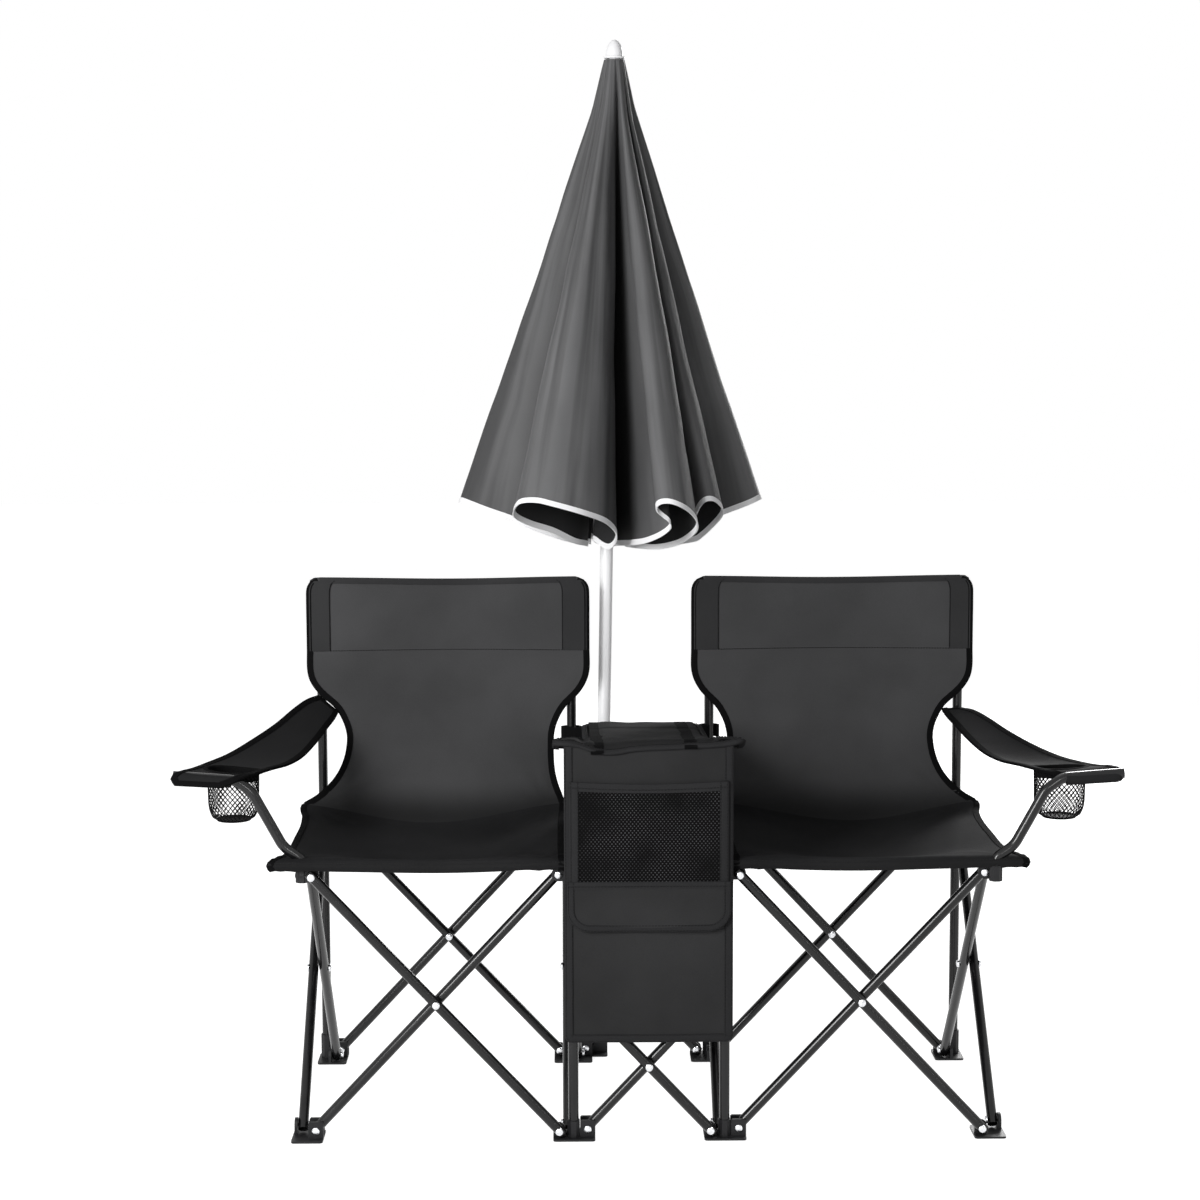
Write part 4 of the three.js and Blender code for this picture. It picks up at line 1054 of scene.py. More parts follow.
def post_sleeve(sign, x_mm):
    """The sleeve round a rear post: a flat lens in plan, closed at the top."""
    rings = []
    for z, share in ((SEAM_Z, 0.90), (712, 1), (760, 1), (805, 1), (820, 0.97), (828, 0.86), (832, 0.55)):
        ring = []
        for k in range(28):
            a = math.tau * k / 28
            c, d = math.cos(a), math.sin(a)
            ring.append(at_mm(sign * (x_mm + 20 * share * math.copysign(abs(c) ** 1.25, c)),
                              POST_BACK + 11.2 * min(share + 0.06, 1) * math.copysign(abs(d) ** 0.8, d), z))
        rings.append(ring)
    points = [p for ring in rings for p in ring]
    faces = grid_faces(28, len(rings), closed=True, flip=sign < 0)
    faces.append(tuple(range(len(points) - 28, len(points))))
    return points, faces


def raised(at, ahead):
    """The same cloth moved forward (negative) or back in depth."""
    return lambda u, v: at(u, v) + Vector((0, ahead, 0))


for side, sign in (("left", -1), ("right", 1)):
    shape = sling_shape(sign)
    back = part_of(shape, 0, 1, CREASE, 1)
    seam_v = v_of_z(shape, SEAM_Z)
    sleeve_u = [u_of_x(shape, x_mm, seam_v) for x_mm in SLEEVE_EDGES]
    parts = [(both_sides(back, 56, 96, CLOTH), BACK_CLOTH)]
    for which in ("u0", "u1"):
        parts.append((tape_along(back, edge_of(which, 0.01, 0.997), TAPE_WIDTH, TAPE_HALF, 90), TAPE))
    parts.append((tape_along(back, edge_of("v1", 0.0, 1.0), TAPE_WIDTH, TAPE_HALF, 40), SLEEVE_CLOTH))
    for u0, u1 in ((0.008, sleeve_u[0]), (sleeve_u[1], 0.992)):
        facing = raised(part_of(shape, u0, u1, seam_v, 0.994), -0.0016)
        parts.append((both_sides(facing, 10, 50, 0.0012), SLEEVE_CLOTH))
    for x_mm, wide in ((555.5, 0.0022), (93.5, 0.0022), (SLEEVE_EDGES[0], 0.0016),
                       (SLEEVE_EDGES[1], 0.0012)):
        u = u_of_x(shape, x_mm, seam_v)
        line = [(u, seam_v + (0.99 - seam_v) * k / 30) for k in range(31)]
        parts.append((strip_on(shape, line, wide, -sign * 0.0021, 0.0007), TAPE))
    for u in sleeve_u:
        line = [(u, seam_v + (0.996 - seam_v) * k / 24) for k in range(25)]
        for face_lift in (-CLOTH / 2 - 0.0016, CLOTH / 2 + 0.0016):
            parts.append((stitches(shape, line, face_lift), THREAD))
    line = [(0.012 + 0.976 * k / 60, seam_v) for k in range(61)]
    for face_lift in (-CLOTH / 2 - 0.0003, CLOTH / 2 + 0.0003):
        parts.append((stitches(shape, line, face_lift), THREAD))
    parts.append((post_sleeve(sign, 540), SLEEVE_CLOTH))
    parts.append((post_sleeve(sign, 117), SLEEVE_CLOTH))
    made = soften(piece(f"back_{side}", parts, f"{side}_rear_inner"), 50)
    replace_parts(made, f"sling_{side}")
    size, area = cut_of(back)
    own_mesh(made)

    half = CREASE / 2
    for row, inout, body, u0, u1, v0, v1 in (
        ("front", "outer", f"{side}_outer_front_rising", 0, 0.5, 0, half),
        ("front", "inner", f"{side}_inner_front_rising", 0.5, 1, 0, half),
        ("rear", "outer", f"{side}_outer_rear_rising", 0, 0.5, half, CREASE),
        ("rear", "inner", f"{side}_inner_rear_rising", 0.5, 1, half, CREASE),
    ):
        quarter = part_of(shape, u0, u1, v0, v1)
        parts = [(both_sides(quarter, 30, 60 if row == "front" else 34, CLOTH), SEAT_CLOTH)]
        if row == "front":
            hem = raised(part_of(shape, u0, u1, 0.0, HEM_SHARE), -0.0008)
            parts.append((both_sides(hem, 30, 14, CLOTH), SEAT_HEM))
            line = [(u0 + (u1 - u0) * k / 40, HEM_SHARE * 0.86) for k in range(41)]
            parts.append((stitches(shape, line, (CLOTH / 2 + 0.0010) * -sign), THREAD))
        which = "u0" if inout == "outer" else "u1"
        parts.append((tape_along(quarter, edge_of(which), TAPE_WIDTH, TAPE_HALF, 40), TAPE))
        made = soften(piece(f"seat_{side}_{row}_{inout}", parts, body), 50)
        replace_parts(made, f"sling_{side}")
        size, area = cut_of(quarter)
        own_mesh(made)
print("slings made")

# %% [markdown]
# The armrests are boat-shaped pieces of doubled cloth. Each starts wide on the arm post, where a
# roll of cloth holds it, and narrows to a band that is sewn to the rear post. A round hole near
# the front has a net cup under it. The hole is easiest to leave open when the cloth is laid out in
# rings round it, from the rim of the hole to the outline.

# %% Armrest shape
ARM_FRONT, ARM_REAR = -13.0, 417.5
CUP_X, CUP_Y, CUP_R, CUP_FLOOR_R, CUP_DEPTH = 642.0, 62.0, 39.5, 26.0, 74.0
ARM_TRACK = [
    # share of the length, outer edge (x, z), inner edge (x, z)
    (0.000, (721, 561), (650, 557)),
    (0.012, (727, 568), (635, 562)),
    (0.030, (724, 575), (623, 567)),
    (0.060, (714, 577), (612, 569)),
    (0.13, (703, 575.5), (602, 568)),
    (0.27, (689, 573.5), (585, 565)),
    (0.42, (664, 576.5), (566, 561)),
    (0.57, (635, 588), (551, 563)),
    (0.72, (605, 603), (537, 573.5)),
    (0.87, (579, 620.5), (524, 588)),
    (0.95, (561, 630), (516, 597)),
    (1.00, (545, 633), (512, 605)),
]
# the right armrest's outer edge lies lower in the picture: by how much, in millimetres
ARM_SLIP = [(0, 0), (0.06, 0), (0.13, 3), (0.27, 7), (0.42, 11), (0.57, 15.5), (0.72, 18), (0.87, 21.5),
            (0.95, 24), (1, 27)]
arm_slip = smooth_through([{"t": t, "drop": drop} for t, drop in ARM_SLIP], "drop")
arm_stations = [{"t": t, "ox": o[0], "oz": o[1], "ix": i[0], "iz": i[1]} for t, o, i in ARM_TRACK]
arm_curve = {key: smooth_through(arm_stations, key) for key in ("ox", "oz", "ix", "iz")}


def arm_shape(sign):
    def at(u, v):
        v = min(max(v, 0), 1)
        value = {key: curve(v) for key, curve in arm_curve.items()}
        if sign > 0:
            value["oz"] -= arm_slip(v)
        dish = 5.0 * math.sin(math.pi * u) * math.sin(math.pi * min(v * 1.15, 1))
        return at_mm(sign * (value["ox"] + (value["ix"] - value["ox"]) * u),
                     ARM_FRONT + (ARM_REAR - ARM_FRONT) * v,
                     value["oz"] + (value["iz"] - value["oz"]) * u - dish)
    return at


def arm_height(x_mm, y_mm, sign):
    """Height of an armrest's cloth over a place on the plan, both in millimetres."""
    v = min(max((y_mm - ARM_FRONT) / (ARM_REAR - ARM_FRONT), 0), 1)
    out, inn = arm_curve["ox"](v), arm_curve["ix"](v)
    u = (x_mm - out) / (inn - out)
    return arm_shape(sign)(min(max(u, -0.2), 1.2), v).z * 1000


CUP_RIM = {sign: arm_height(CUP_X, CUP_Y, sign) for sign in (-1, 1)}
print("cup rims at", round(CUP_RIM[-1], 1), "and", round(CUP_RIM[1], 1), "mm")

# %% Armrest cloth with its hole


def arm_outline(count=56):
    """The outline of the cloth in plan, from the front outer corner round by the inner edge."""
    line = []
    for k in range(14):
        line.append((0 + k / 14, 0.0))
    line += [(1.0, (k / count) ** 1.5) for k in range(count)]
    line += [(1 - k / 8, 1.0) for k in range(8)]
    line += [(0.0, ((count - k) / count) ** 1.5) for k in range(count)]
    return line


def holed_cloth(sign, thickness, rings=16):
    shape = arm_shape(1)
    outline = [shape(u, v) for u, v in arm_outline()]
    outline = [(p.x * 1000, (p.y - FRONT) * 1000) for p in outline]
    count = len(outline)
    upper, lower = [], []
    for j in range(rings):
        s = j / (rings - 1)
        for x, y in outline:
            far = math.hypot(x - CUP_X, y - CUP_Y)
            cx = CUP_X + (x - CUP_X) / far * CUP_R
            cy = CUP_Y + (y - CUP_Y) / far * CUP_R
            px, py = cx + (x - cx) * s, cy + (y - cy) * s
            z = arm_height(px, py, sign)
            upper.append(at_mm(sign * px, py, z + thickness / 2))
            lower.append(at_mm(sign * px, py, z - thickness / 2))
    base = len(upper)
    flip = sign < 0
    faces = grid_faces(count, rings, closed=True, flip=not flip)
    faces += grid_faces(count, rings, base=base, closed=True, flip=flip)
    for row in (0, rings - 1):
        for i in range(count):
            k = (i + 1) % count
            a, b = row * count + i, row * count + k
            faces.append((a, b, base + b, base + a) if (row == 0) != flip else (b, a, base + a, base + b))
    return upper + lower, faces


def round_cup(radius, turn):
    """A place on the plan, at a distance from the middle of the cup."""
    return CUP_X + radius * math.cos(turn), CUP_Y + radius * math.sin(turn)


def ring_round(sign, radius, profile, count=48, height=None):
    """A closed ring round the cup hole, with a profile of (outward, upward) pairs in millimetres."""
    points = []
    for k in range(count):
        a = math.tau * k / count
        for out, up in profile:
            x, y = round_cup(radius + out, a)
            z = (arm_height(x, y, sign) if height is None else height) + up
            points.append(at_mm(sign * x, y, z))
    faces = ring_faces(count, len(profile))
    return points, faces if sign > 0 else [tuple(reversed(face)) for face in faces]


def cup_radius(s):
    """How far the net stands out at a share of its depth: full at the top, drawn in below."""
    drawn = max(s - 0.62, 0) / 0.38
    return CUP_R - 1.5 * s - (CUP_R - 1.5 - CUP_FLOOR_R) * (1 - math.sqrt(max(1 - drawn ** 2, 0)))


def net_cup(sign, strands=32, steps=18):
    """Diamond netting: cords that run down the cup in two directions, from the rim round to the edge of its floor."""
    points, faces = [], []
    cord = circle(0.0008, 3)
    for turn in (-1, 1):
        for k in range(strands):
            path = []
            for j in range(steps + 1):
                s = j / steps
                a = math.tau * k / strands + turn * s * 1.7
                x, y = round_cup(cup_radius(s), a)
                start = arm_height(x, y, sign) * (1 - s) + CUP_RIM[sign] * s
                path.append(at_mm(sign * x, y, start - CUP_DEPTH * s))
            cord_points, cord_faces = swept(path, cord)
            base = len(points)
            points += cord_points
            faces += [tuple(base + i for i in face) for face in cord_faces]
    return points, faces


def cup_wall(sign, count=48):
    """A band of solid cloth that hangs from the rim and carries the net."""
    points = []
    for radius, drop in ((CUP_R - 0.2, 0.5), (CUP_R + 0.3, -13.0), (CUP_R - 0.9, -13.0), (CUP_R - 1.4, 0.5)):
        for k in range(count):
            x, y = round_cup(radius, math.tau * k / count)
            points.append(at_mm(sign * x, y, arm_height(x, y, sign) + drop))
    faces = grid_faces(count, 4, closed=True, flip=sign > 0)
    for k in range(count):
        m = (k + 1) % count
        faces.append((k, m, 3 * count + m, 3 * count + k))
    return points, faces


def cup_floor(sign, count=48):
    """The floor of the cup: a disc of net cloth, a little lower in its middle."""
    points, faces = [], []
    rings = [(CUP_FLOOR_R, 0.0), (20.0, -1.2), (12.0, -2.0), (5.0, -2.2)]
    for up in (0.5, -0.5):
        for radius, drop in rings:
            for k in range(count):
                x, y = round_cup(radius, math.tau * k / count)
                points.append(at_mm(sign * x, y, CUP_RIM[sign] - CUP_DEPTH + drop + up))
    size = len(rings) * count
    faces = grid_faces(count, len(rings), closed=True, flip=sign > 0)
    faces += grid_faces(count, len(rings), base=size, closed=True, flip=sign < 0)
    faces.append(tuple(range((len(rings) - 1) * count, size)))
    faces.append(tuple(reversed(range(size + (len(rings) - 1) * count, 2 * size))))
    for k in range(count):
        m = (k + 1) % count
        faces.append((k, m, size + m, size + k))
    return points, faces


# %% Armrests
ROLL_R = 0.0094  # radius of the cloth rolled round the front tube
ROLL_NOSE = 0.0135  # length of the roll's pointed end
for side, sign in (("left", -1), ("right", 1)):
    shape = arm_shape(sign)
    post_y = (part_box(f"arm_post_{side}")[0].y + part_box(f"arm_post_{side}")[1].y) / 2
    shoulder, tip = Vector((sign * 0.638, post_y, 0.5620)), Vector((sign * 0.7265, post_y, 0.5670))
    roll = open_tube(straight(shoulder, tip - (tip - shoulder).normalized() * ROLL_NOSE, 12),
                     radius=ROLL_R, wall=0.0020, sides=22)
    nose = [(ROLL_R, 0.0), (0.0091, 0.0034), (0.0080, 0.0072), (0.0061, 0.0104), (0.0038, 0.0126),
            (0.0006, 0.0136)]
    nose_end = turned_on(nose, tip - (tip - shoulder).normalized() * ROLL_NOSE, tip - shoulder, 22)
    parts = [(holed_cloth(sign, 3.2), ARM_CLOTH), (roll, ARM_CLOTH), (nose_end, ARM_CLOTH)]
    for which in ("u0", "u1"):
        parts.append((tape_along(shape, edge_of(which, 0.0, 1.0), 0.0088, 0.0026, 70), TAPE))
    for which in ("v0", "v1"):
        parts.append((tape_along(shape, edge_of(which, 0.0, 1.0), 0.0070, 0.0026, 14), TAPE))
    rim = [(-1.2, 0.0), (-0.8, 2.0), (1.0, 3.0), (6.0, 2.6), (7.0, 1.7), (7.0, -1.7), (0, -2.6), (-1.0, -1.8)]
    parts.append((ring_round(sign, CUP_R, rim), TAPE))
    made = soften(piece(f"armrest_cloth_{side}", parts, f"{side}_arm"), 45)
    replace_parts(made, f"armrest_{side}")
    # the cut is the sheet and the strip rolled round the front tube, without the cup hole
    (wide, long), area = cut_of(shape)
    roll_round, roll_long = math.tau * ROLL_R, (tip - shoulder).length
    area = round(area + roll_round * roll_long - math.pi * (CUP_R / 1000) ** 2, 4)
    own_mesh(made)
    hoop = [(-0.9, 0.0), (0, 1.6), (0.9, 0), (0, -1.6)]
    netting = [(net_cup(sign), NET_CORD), (cup_floor(sign), NET_CORD), (cup_wall(sign), TAPE),
               (ring_round(sign, CUP_FLOOR_R, hoop, height=CUP_RIM[sign] - CUP_DEPTH), TAPE)]
    cup = soften(piece(f"cup_net_{side}", netting, f"{side}_arm"), 45)
    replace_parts(cup, f"armrest_{side}")
    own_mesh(cup)
print("armrests and net cups made")

# %% [markdown]
# The console between the seats is a cooler bag. Its front is a wide hanging panel with a net pocket
# on it. The pocket's lower half is covered by a flap with rounded corners, and its top is held by
# a band that sags a little. All edges have binding tape with a double row of stitches.

# %% Console panels
PANEL_Y, NET_Y, FLAP_Y = -26.0, -31.2, -34.4
LID_HEM = [
    # place across, height of the lower edge of the lid's front hem
    (-146, 620), (-130, 619.5), (-112, 618), (-96, 613), (-80, 607), (-62, 605.5), (-46, 606.5), (-26, 610),
    (0, 612), (43, 613.5), (84, 615.5), (110, 617), (130, 620), (146, 623),
]
hem_stations = [{"t": x, "z": z} for x, z in LID_HEM]
lid_hem = smooth_through(hem_stations, "z")


def rounded_sheet(x0, x1, bottom, top, corner, y, bow=0.0, sag=0.0, sway=0.0, under_lid=False):
    """A hanging sheet at(u, v) with round lower corners. bow pushes its middle forward, sag lowers
    its top edge, and sway makes it wave a little. under_lid makes its top follow the lid's hem."""
    width = x1 - x0

    def at(u, v):
        x = x0 + width * u
        lift = 0.0
        reach = min(x - x0, x1 - x)
        if corner and reach < corner:
            lift = corner - math.sqrt(max(corner ** 2 - (corner - reach) ** 2, 0))
        low = bottom + lift
        high = lid_hem(x) + 3.0 if under_lid else top - sag * math.sin(math.pi * u)
        z = low + (high - low) * v
        wave = sway * math.sin(2.6 * math.pi * u + 3.0 * v) * math.sin(math.pi * v * 0.9 + 0.3)
        return at_mm(x, y - bow * math.sin(math.pi * u) * math.sin(math.pi * min(v + 0.06, 1)) + wave, z)
    return at


def edge_walk(count=60):
    """The left edge, the bottom and the right edge of a sheet as one line of (u, v)."""
    down = [(0.0, 1 - k / count) for k in range(count)]
    # the round corners need closely spaced points at both ends of the bottom edge
    bottom = [((1 - math.cos(math.pi * k / count)) / 2, 0.0) for k in range(count + 1)]
    rise = [(1.0, k / count) for k in range(1, count + 1)]
    return down + bottom + rise


def binding(points, normal, width, half):
    """Tape folded over an edge given by its points; normal is the sheet's side to the viewer."""
    frames = []
    for p, along in ways_along(thinned(points)):
        inward = normal.cross(along).normalized()
        frames.append((p, inward, along.cross(inward)))
    section = [(-0.0010, 0), (-0.0006, half * 0.7), (0.0010, half), (width, half * 0.9),
               (width, -half * 0.9), (0.0010, -half), (-0.0006, -half * 0.7)]
    return swept(None, section, frames)


def thread_row(points, inset, normal, lift):
    """Stitches beside an edge, at a distance from it, on the side towards the viewer."""
    moved = [p + normal.cross(along).normalized() * inset + normal * lift
             for p, along in ways_along(thinned(points))]
    return stitched(moved, 0.0032, 0.0050)


def hanging(name, at, cloth, body, tape=0.0090, columns=60, rows=70, half=0.0022, rim=True):
    """A console sheet with its tape and two rows of stitches."""
    parts = [(both_sides(at, columns, rows, 0.0018), cloth)]
    walk = [at(u, v) for u, v in edge_walk()]
    parts.append((binding(walk, TOWARD_FRONT, tape, half), PANEL_TAPE))
    for inset in (tape * 0.12, tape * 0.92):
        parts.append((thread_row(walk, inset, TOWARD_FRONT, half + 0.0002), THREAD))
    if rim:
        top = [at(k / 40, 1.0) for k in range(41)]
        parts.append((binding(list(reversed(top)), TOWARD_FRONT, tape, half), PANEL_TAPE))
        parts.append((thread_row(list(reversed(top)), tape * 0.6, TOWARD_FRONT, half + 0.0002), THREAD))
    made = soften(piece(name, parts, body), 45)
    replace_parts(made, "console_bag")
    size, area = cut_of(at)
    return made


panel_shape = rounded_sheet(-129, 127, 160, 597, 9, PANEL_Y, bow=2.5, sway=1.6, under_lid=True)
panel = hanging("console_panel", panel_shape, PANEL_CLOTH, "base", tape=0.0120, rim=False)
pocket_shape = rounded_sheet(-121, 120, 345, 565, 30, NET_Y, bow=1.5, sag=4.0, sway=0.5)
pocket = hanging("pocket_net", pocket_shape, POCKET_NET, "base", tape=0.0130)
flap_shape = rounded_sheet(-125, 124, 335, 411, 34, FLAP_Y, bow=4.5, sag=0.0, sway=0.6)
flap = hanging("pocket_flap", flap_shape, PANEL_CLOTH, "base", tape=0.0100, rows=30)
for made in (panel, pocket, flap):
    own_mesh(made)
print("console front made")

# %% [markdown]
# Behind the panel hangs the box of the bag: two side walls, a rear wall and a floor in two halves,
# so that every wall can move with the post that it hangs on. Each wall is a sheet that swells a
# little outwards, and a band of tape covers its upper edge and the corners.

# %% Console bag
BAG_X, BAG_FRONT, BAG_REAR, BAG_FLOOR = 93.0, -23.0, 389.0, 238.0


def lid_under(y_mm):
    """Height of the lid's underside at a depth."""
    return 600.0 - 18.0 * (y_mm + 32.0) / 404.0


def wall_shape(sign):
    def at(u, v):
        y = BAG_FRONT + (BAG_REAR - BAG_FRONT) * u
        top = lid_under(y) - 2.0
        swell = 3.5 * math.sin(math.pi * u) * math.sin(math.pi * v)
        dent = 1.2 * math.sin(9 * u + 4 * v) * math.sin(math.pi * v)
        return at_mm(sign * (BAG_X + swell + dent), y, BAG_FLOOR + (top - BAG_FLOOR) * v)
    return at


def rear_wall(u, v):
    top = lid_under(BAG_REAR) - 2.0
    swell = 2.0 * math.sin(math.pi * u) * math.sin(math.pi * v)
    return at_mm(-BAG_X + 2 * BAG_X * u, BAG_REAR + swell - 1.0, BAG_FLOOR + (top - BAG_FLOOR) * v)


def floor_half(sign):
    drop = 0.0 if sign < 0 else 2.0

    def at(u, v):
        belly = 3.0 * math.sin(math.pi * v) * u
        return at_mm(sign * BAG_X * (1 - u), BAG_FRONT + (BAG_REAR - BAG_FRONT) * v,
                     BAG_FLOOR - drop - belly + 2.0)
    return at


def walls_of(at, columns, rows, tapes):
    parts = [(both_sides(at, columns, rows, 0.0024), PANEL_CLOTH)]
    for which in tapes:
        parts.append((tape_along(at, edge_of(which), 0.0090, 0.0024, 60), TAPE))
    return parts


for side, sign, body in (("left", -1, "base"), ("right", 1, "front_right_inner")):
    parts = walls_of(wall_shape(sign), 50, 40, ("u0", "u1", "v0", "v1"))
    wall = soften(piece(f"bag_wall_{side}", parts, body), 45)
    cut_of(wall_shape(sign))[0]
    base_half = soften(piece(f"bag_floor_{side}", walls_of(floor_half(sign), 16, 50, ()), body), 45)
    cut_of(floor_half(sign))[0]
    for made in (wall, base_half):
        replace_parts(made, "console_bag")
        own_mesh(made)
rear = soften(piece("bag_wall_rear", walls_of(rear_wall, 30, 40, ("u0", "u1", "v0", "v1")),
                    "left_rear_inner"), 45)
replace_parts(rear, "console_bag")
cut_of(rear_wall)[0]
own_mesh(rear)

# loops of webbing round the four posts carry the bag's weight
for name, body, x, y, z in (
    ("bag_loop_front_left", "base", -117, 0, 576), ("bag_loop_front_right", "front_right_inner", 117, 0, 576),
    ("bag_loop_rear_left", "left_rear_inner", -117, 433, 566),
    ("bag_loop_rear_right", "right_rear_inner", 117, 433, 568),
):
    inward = -1 if x > 0 else 1
    if y < 100:
        ends = [(x + 9.5, -20), (x + 9.8, 0), (x + 6.9, 6.9), (x, 9.8), (x - 6.9, 6.9), (x - 9.8, 0),
                (x - 9.5, -20)]
    else:
        ends = [(x + 17, 433), (x + 11, 440.5), (x, 443.2), (x - 11, 440.5), (x - 17, 433),
                (x - 11, 425.5), (x, 422.8), (x + inward * 14, 412), (inward * -90.0, 392)]
    frames = band_frames([at_mm(a, b, z) for a, b in ends], Vector((0, 0, 1)))
    band = [(-0.011, -0.0007), (0.011, -0.0007), (0.011, 0.0007), (-0.011, 0.0007)]
    loop = soften(piece(name, [(swept(None, band, frames), TAPE)], body), 30)
    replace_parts(loop, "console_bag")
print("bag walls, floor and loops made")

# %% [markdown]
# The lid is a soft lid: foam between two layers of cloth, sewn down along its rim, so it is thick
# in the middle and thin at the seam. Two black webbing bands run over it from front to rear. Its
# front hem waves, and only its front corners reach out over the posts: behind them it is narrower.

# %% Console lid
LID_X, LID_FRONT, LID_REAR, LID_FRONT_Z, LID_REAR_Z = 146.0, -31.0, 371.0, 611.0, 586.0
LID_WAIST = 99.0
BANDS = (-79.0, 63.0)


def ease(t):
    t = min(max(t, 0.0), 1.0)
    return t * t * (3 - 2 * t)


def lid_half(y):
    """Half the lid's width: wide at the front corners, which wrap the posts, and narrow behind."""
    return LID_X + (LID_WAIST - LID_X) * ease((y - 66.0) / 40.0)


def lid_place(u, v, side_up):
    """A point of the lid: u across, v from front to rear, side_up 1 on top and 0 below."""
    y = LID_FRONT + (LID_REAR - LID_FRONT) * v
    half = lid_half(y)
    x = -half + 2 * half * u
    edge_u, edge_v = min(u, 1 - u) * 2 * half, min(v, 1 - v) * (LID_REAR - LID_FRONT)
    # rounded corners in plan
    corner = 16.0
    if edge_u < corner and edge_v < corner:
        a, b = corner - edge_u, corner - edge_v
        far = math.hypot(a, b)
        longest = max(a, b)
        if far > 0 and longest > 0:
            shrink = longest / far
            x = math.copysign(half - corner, x) + math.copysign(a * shrink, x)
            y = (LID_FRONT + corner - b * shrink) if v < 0.5 else (LID_REAR - corner + b * shrink)
    rim = min(edge_u, edge_v)
    front = math.exp(-((y - LID_FRONT) / 42.0) ** 2)
    z = LID_FRONT_Z + (LID_REAR_Z - LID_FRONT_Z) * v
    z += (lid_hem(x) + 4.0 - LID_FRONT_Z) * front
    z += 7.0 * ease((abs(x) - LID_WAIST) / 14.0) * ease((y - 20.0) / 40.0)
    swell = 1 - math.exp(-max(rim - 6.0, 0) / 7.0)
    seam = math.exp(-((rim - 8.0) / 2.8) ** 2) * (1 + 1.4 * front)
    # the pad stands high behind the front hem, and the cloth dips between the two corners and it
    pad = ease((LID_WAIST + 6 - abs(x)) / 16.0)
    ripple = noise.noise(Vector((x / 42.0, y / 60.0, 3.1)))
    if side_up:
        z += 2.2 + (3.0 + 9.0 * pad * (1 - 0.45 * v)) * swell - 2.4 * seam + 2.0 * ripple * swell
        z -= 2.0 * math.exp(-((y - 236.0) / 9.0) ** 2) * pad * swell
        for band in BANDS:
            z -= 1.6 * math.exp(-((x - band) / 11.0) ** 2) * swell
    else:
        z -= 1.8 + 1.2 * swell
    return at_mm(x, y, z)


def lid_surface(columns=96, rows=110):
    """Both faces of the lid, joined at the rim."""
    points = [lid_place(i / (columns - 1), j / (rows - 1), side_up)
              for side_up in (1, 0) for j in range(rows) for i in range(columns)]
    base = columns * rows
    faces = grid_faces(columns, rows) + grid_faces(columns, rows, base=base, flip=True)
    return points, faces + joined_rims(columns, rows, base)


def lid_rim(count=70):
    """The rim's middle line, once round, against the clock seen from above."""
    line = [(k / count, 0.0) for k in range(count)] + [(1.0, k / count) for k in range(count)]
    line += [(1 - k / count, 1.0) for k in range(count)] + [(0.0, 1 - k / count) for k in range(count + 1)]
    return [(lid_place(u, v, 1) + lid_place(u, v, 0)) / 2 for u, v in line]


def lid_band(x_mm):
    """Webbing over the top of the lid and round its front and rear edges."""
    def across(v):
        half = lid_half(LID_FRONT + (LID_REAR - LID_FRONT) * v)
        return (x_mm + half) / (2 * half)

    rows = [lid_place(across(k / 60), k / 60, 1) + Vector((0, 0, 0.0007)) for k in range(61)]
    low_front, low_rear = lid_place(across(0.0), 0.0, 0), lid_place(across(1.0), 1.0, 0)
    path = [low_front + Vector((0, 0.014, -0.0012)), low_front + Vector((0, 0, -0.0012)),
            (low_front + rows[0]) / 2 + Vector((0, -0.0028, 0))]
    path += rows
    path += [(low_rear + rows[-1]) / 2 + Vector((0, 0.0028, 0)), low_rear + Vector((0, 0, -0.0012)),
             low_rear + Vector((0, -0.014, -0.0012))]
    section = [(-0.0098, -0.0004), (-0.0098, 0.0008), (0, 0.0011), (0.0098, 0.0008), (0.0098, -0.0004)]
    return swept(None, section, band_frames(path, Vector((1, 0, 0))))


rim_line = thinned(lid_rim(), 0.0012)
rim_section_half = 0.0046
frames = []
for k, p in enumerate(rim_line):
    along = (rim_line[(k + 1) % len(rim_line)] - rim_line[k - 1]).normalized()
    inward = Vector((0, 0, 1)).cross(along).normalized()
    frames.append((p, inward, Vector((0, 0, 1))))
tape_section = [(-0.0014, -0.001), (-0.0014, 0.0012), (0.0010, rim_section_half - 0.001),
                (0.0090, rim_section_half), (0.0090, -rim_section_half), (0.0010, 0.001 - rim_section_half)]
rim_points = [p + a * s + b * t for p, a, b in frames for s, t in tape_section]
rim_faces = [(a, d, c, b) for a, b, c, d in ring_faces(len(frames), len(tape_section))]
lid_stitch = thread_row([p + Vector((0, 0, rim_section_half)) for p in rim_line + rim_line[:1]],
                        0.0065, Vector((0, 0, 1)), 0.0004)


def lid_slot(sign, count=40):
    """The opening that slips over a front post: a bound ring on the corner of the lid, filled with a black disc as
    painted shade of the dark opening.
    """
    points = []
    for k in range(count):
        a = math.tau * k / count
        for out, up in ((0.62, 0.0), (0.66, 1.3), (0.95, 1.6), (1.02, 0.0)):
            x = sign * 121.0 + 17.5 * out * math.cos(a)
            y = 26.0 + 21.0 * out * math.sin(a)
            half = lid_half(y)
            ground = lid_place((x + half) / (2 * half), (y - LID_FRONT) / (LID_REAR - LID_FRONT), 1)
            points.append(ground + Vector((0, 0, (up + 0.2) / 1000)))
    faces = ring_faces(count, 4)
    # a black disc just above the lid closes the ring: painted shade for the dark inside of the opening
    middle = len(points)
    inner = [points[k * 4 + 1] - Vector((0, 0, 0.0008)) for k in range(count)]
    points += inner
    faces.append(tuple(range(middle, middle + count)))
    return points, faces


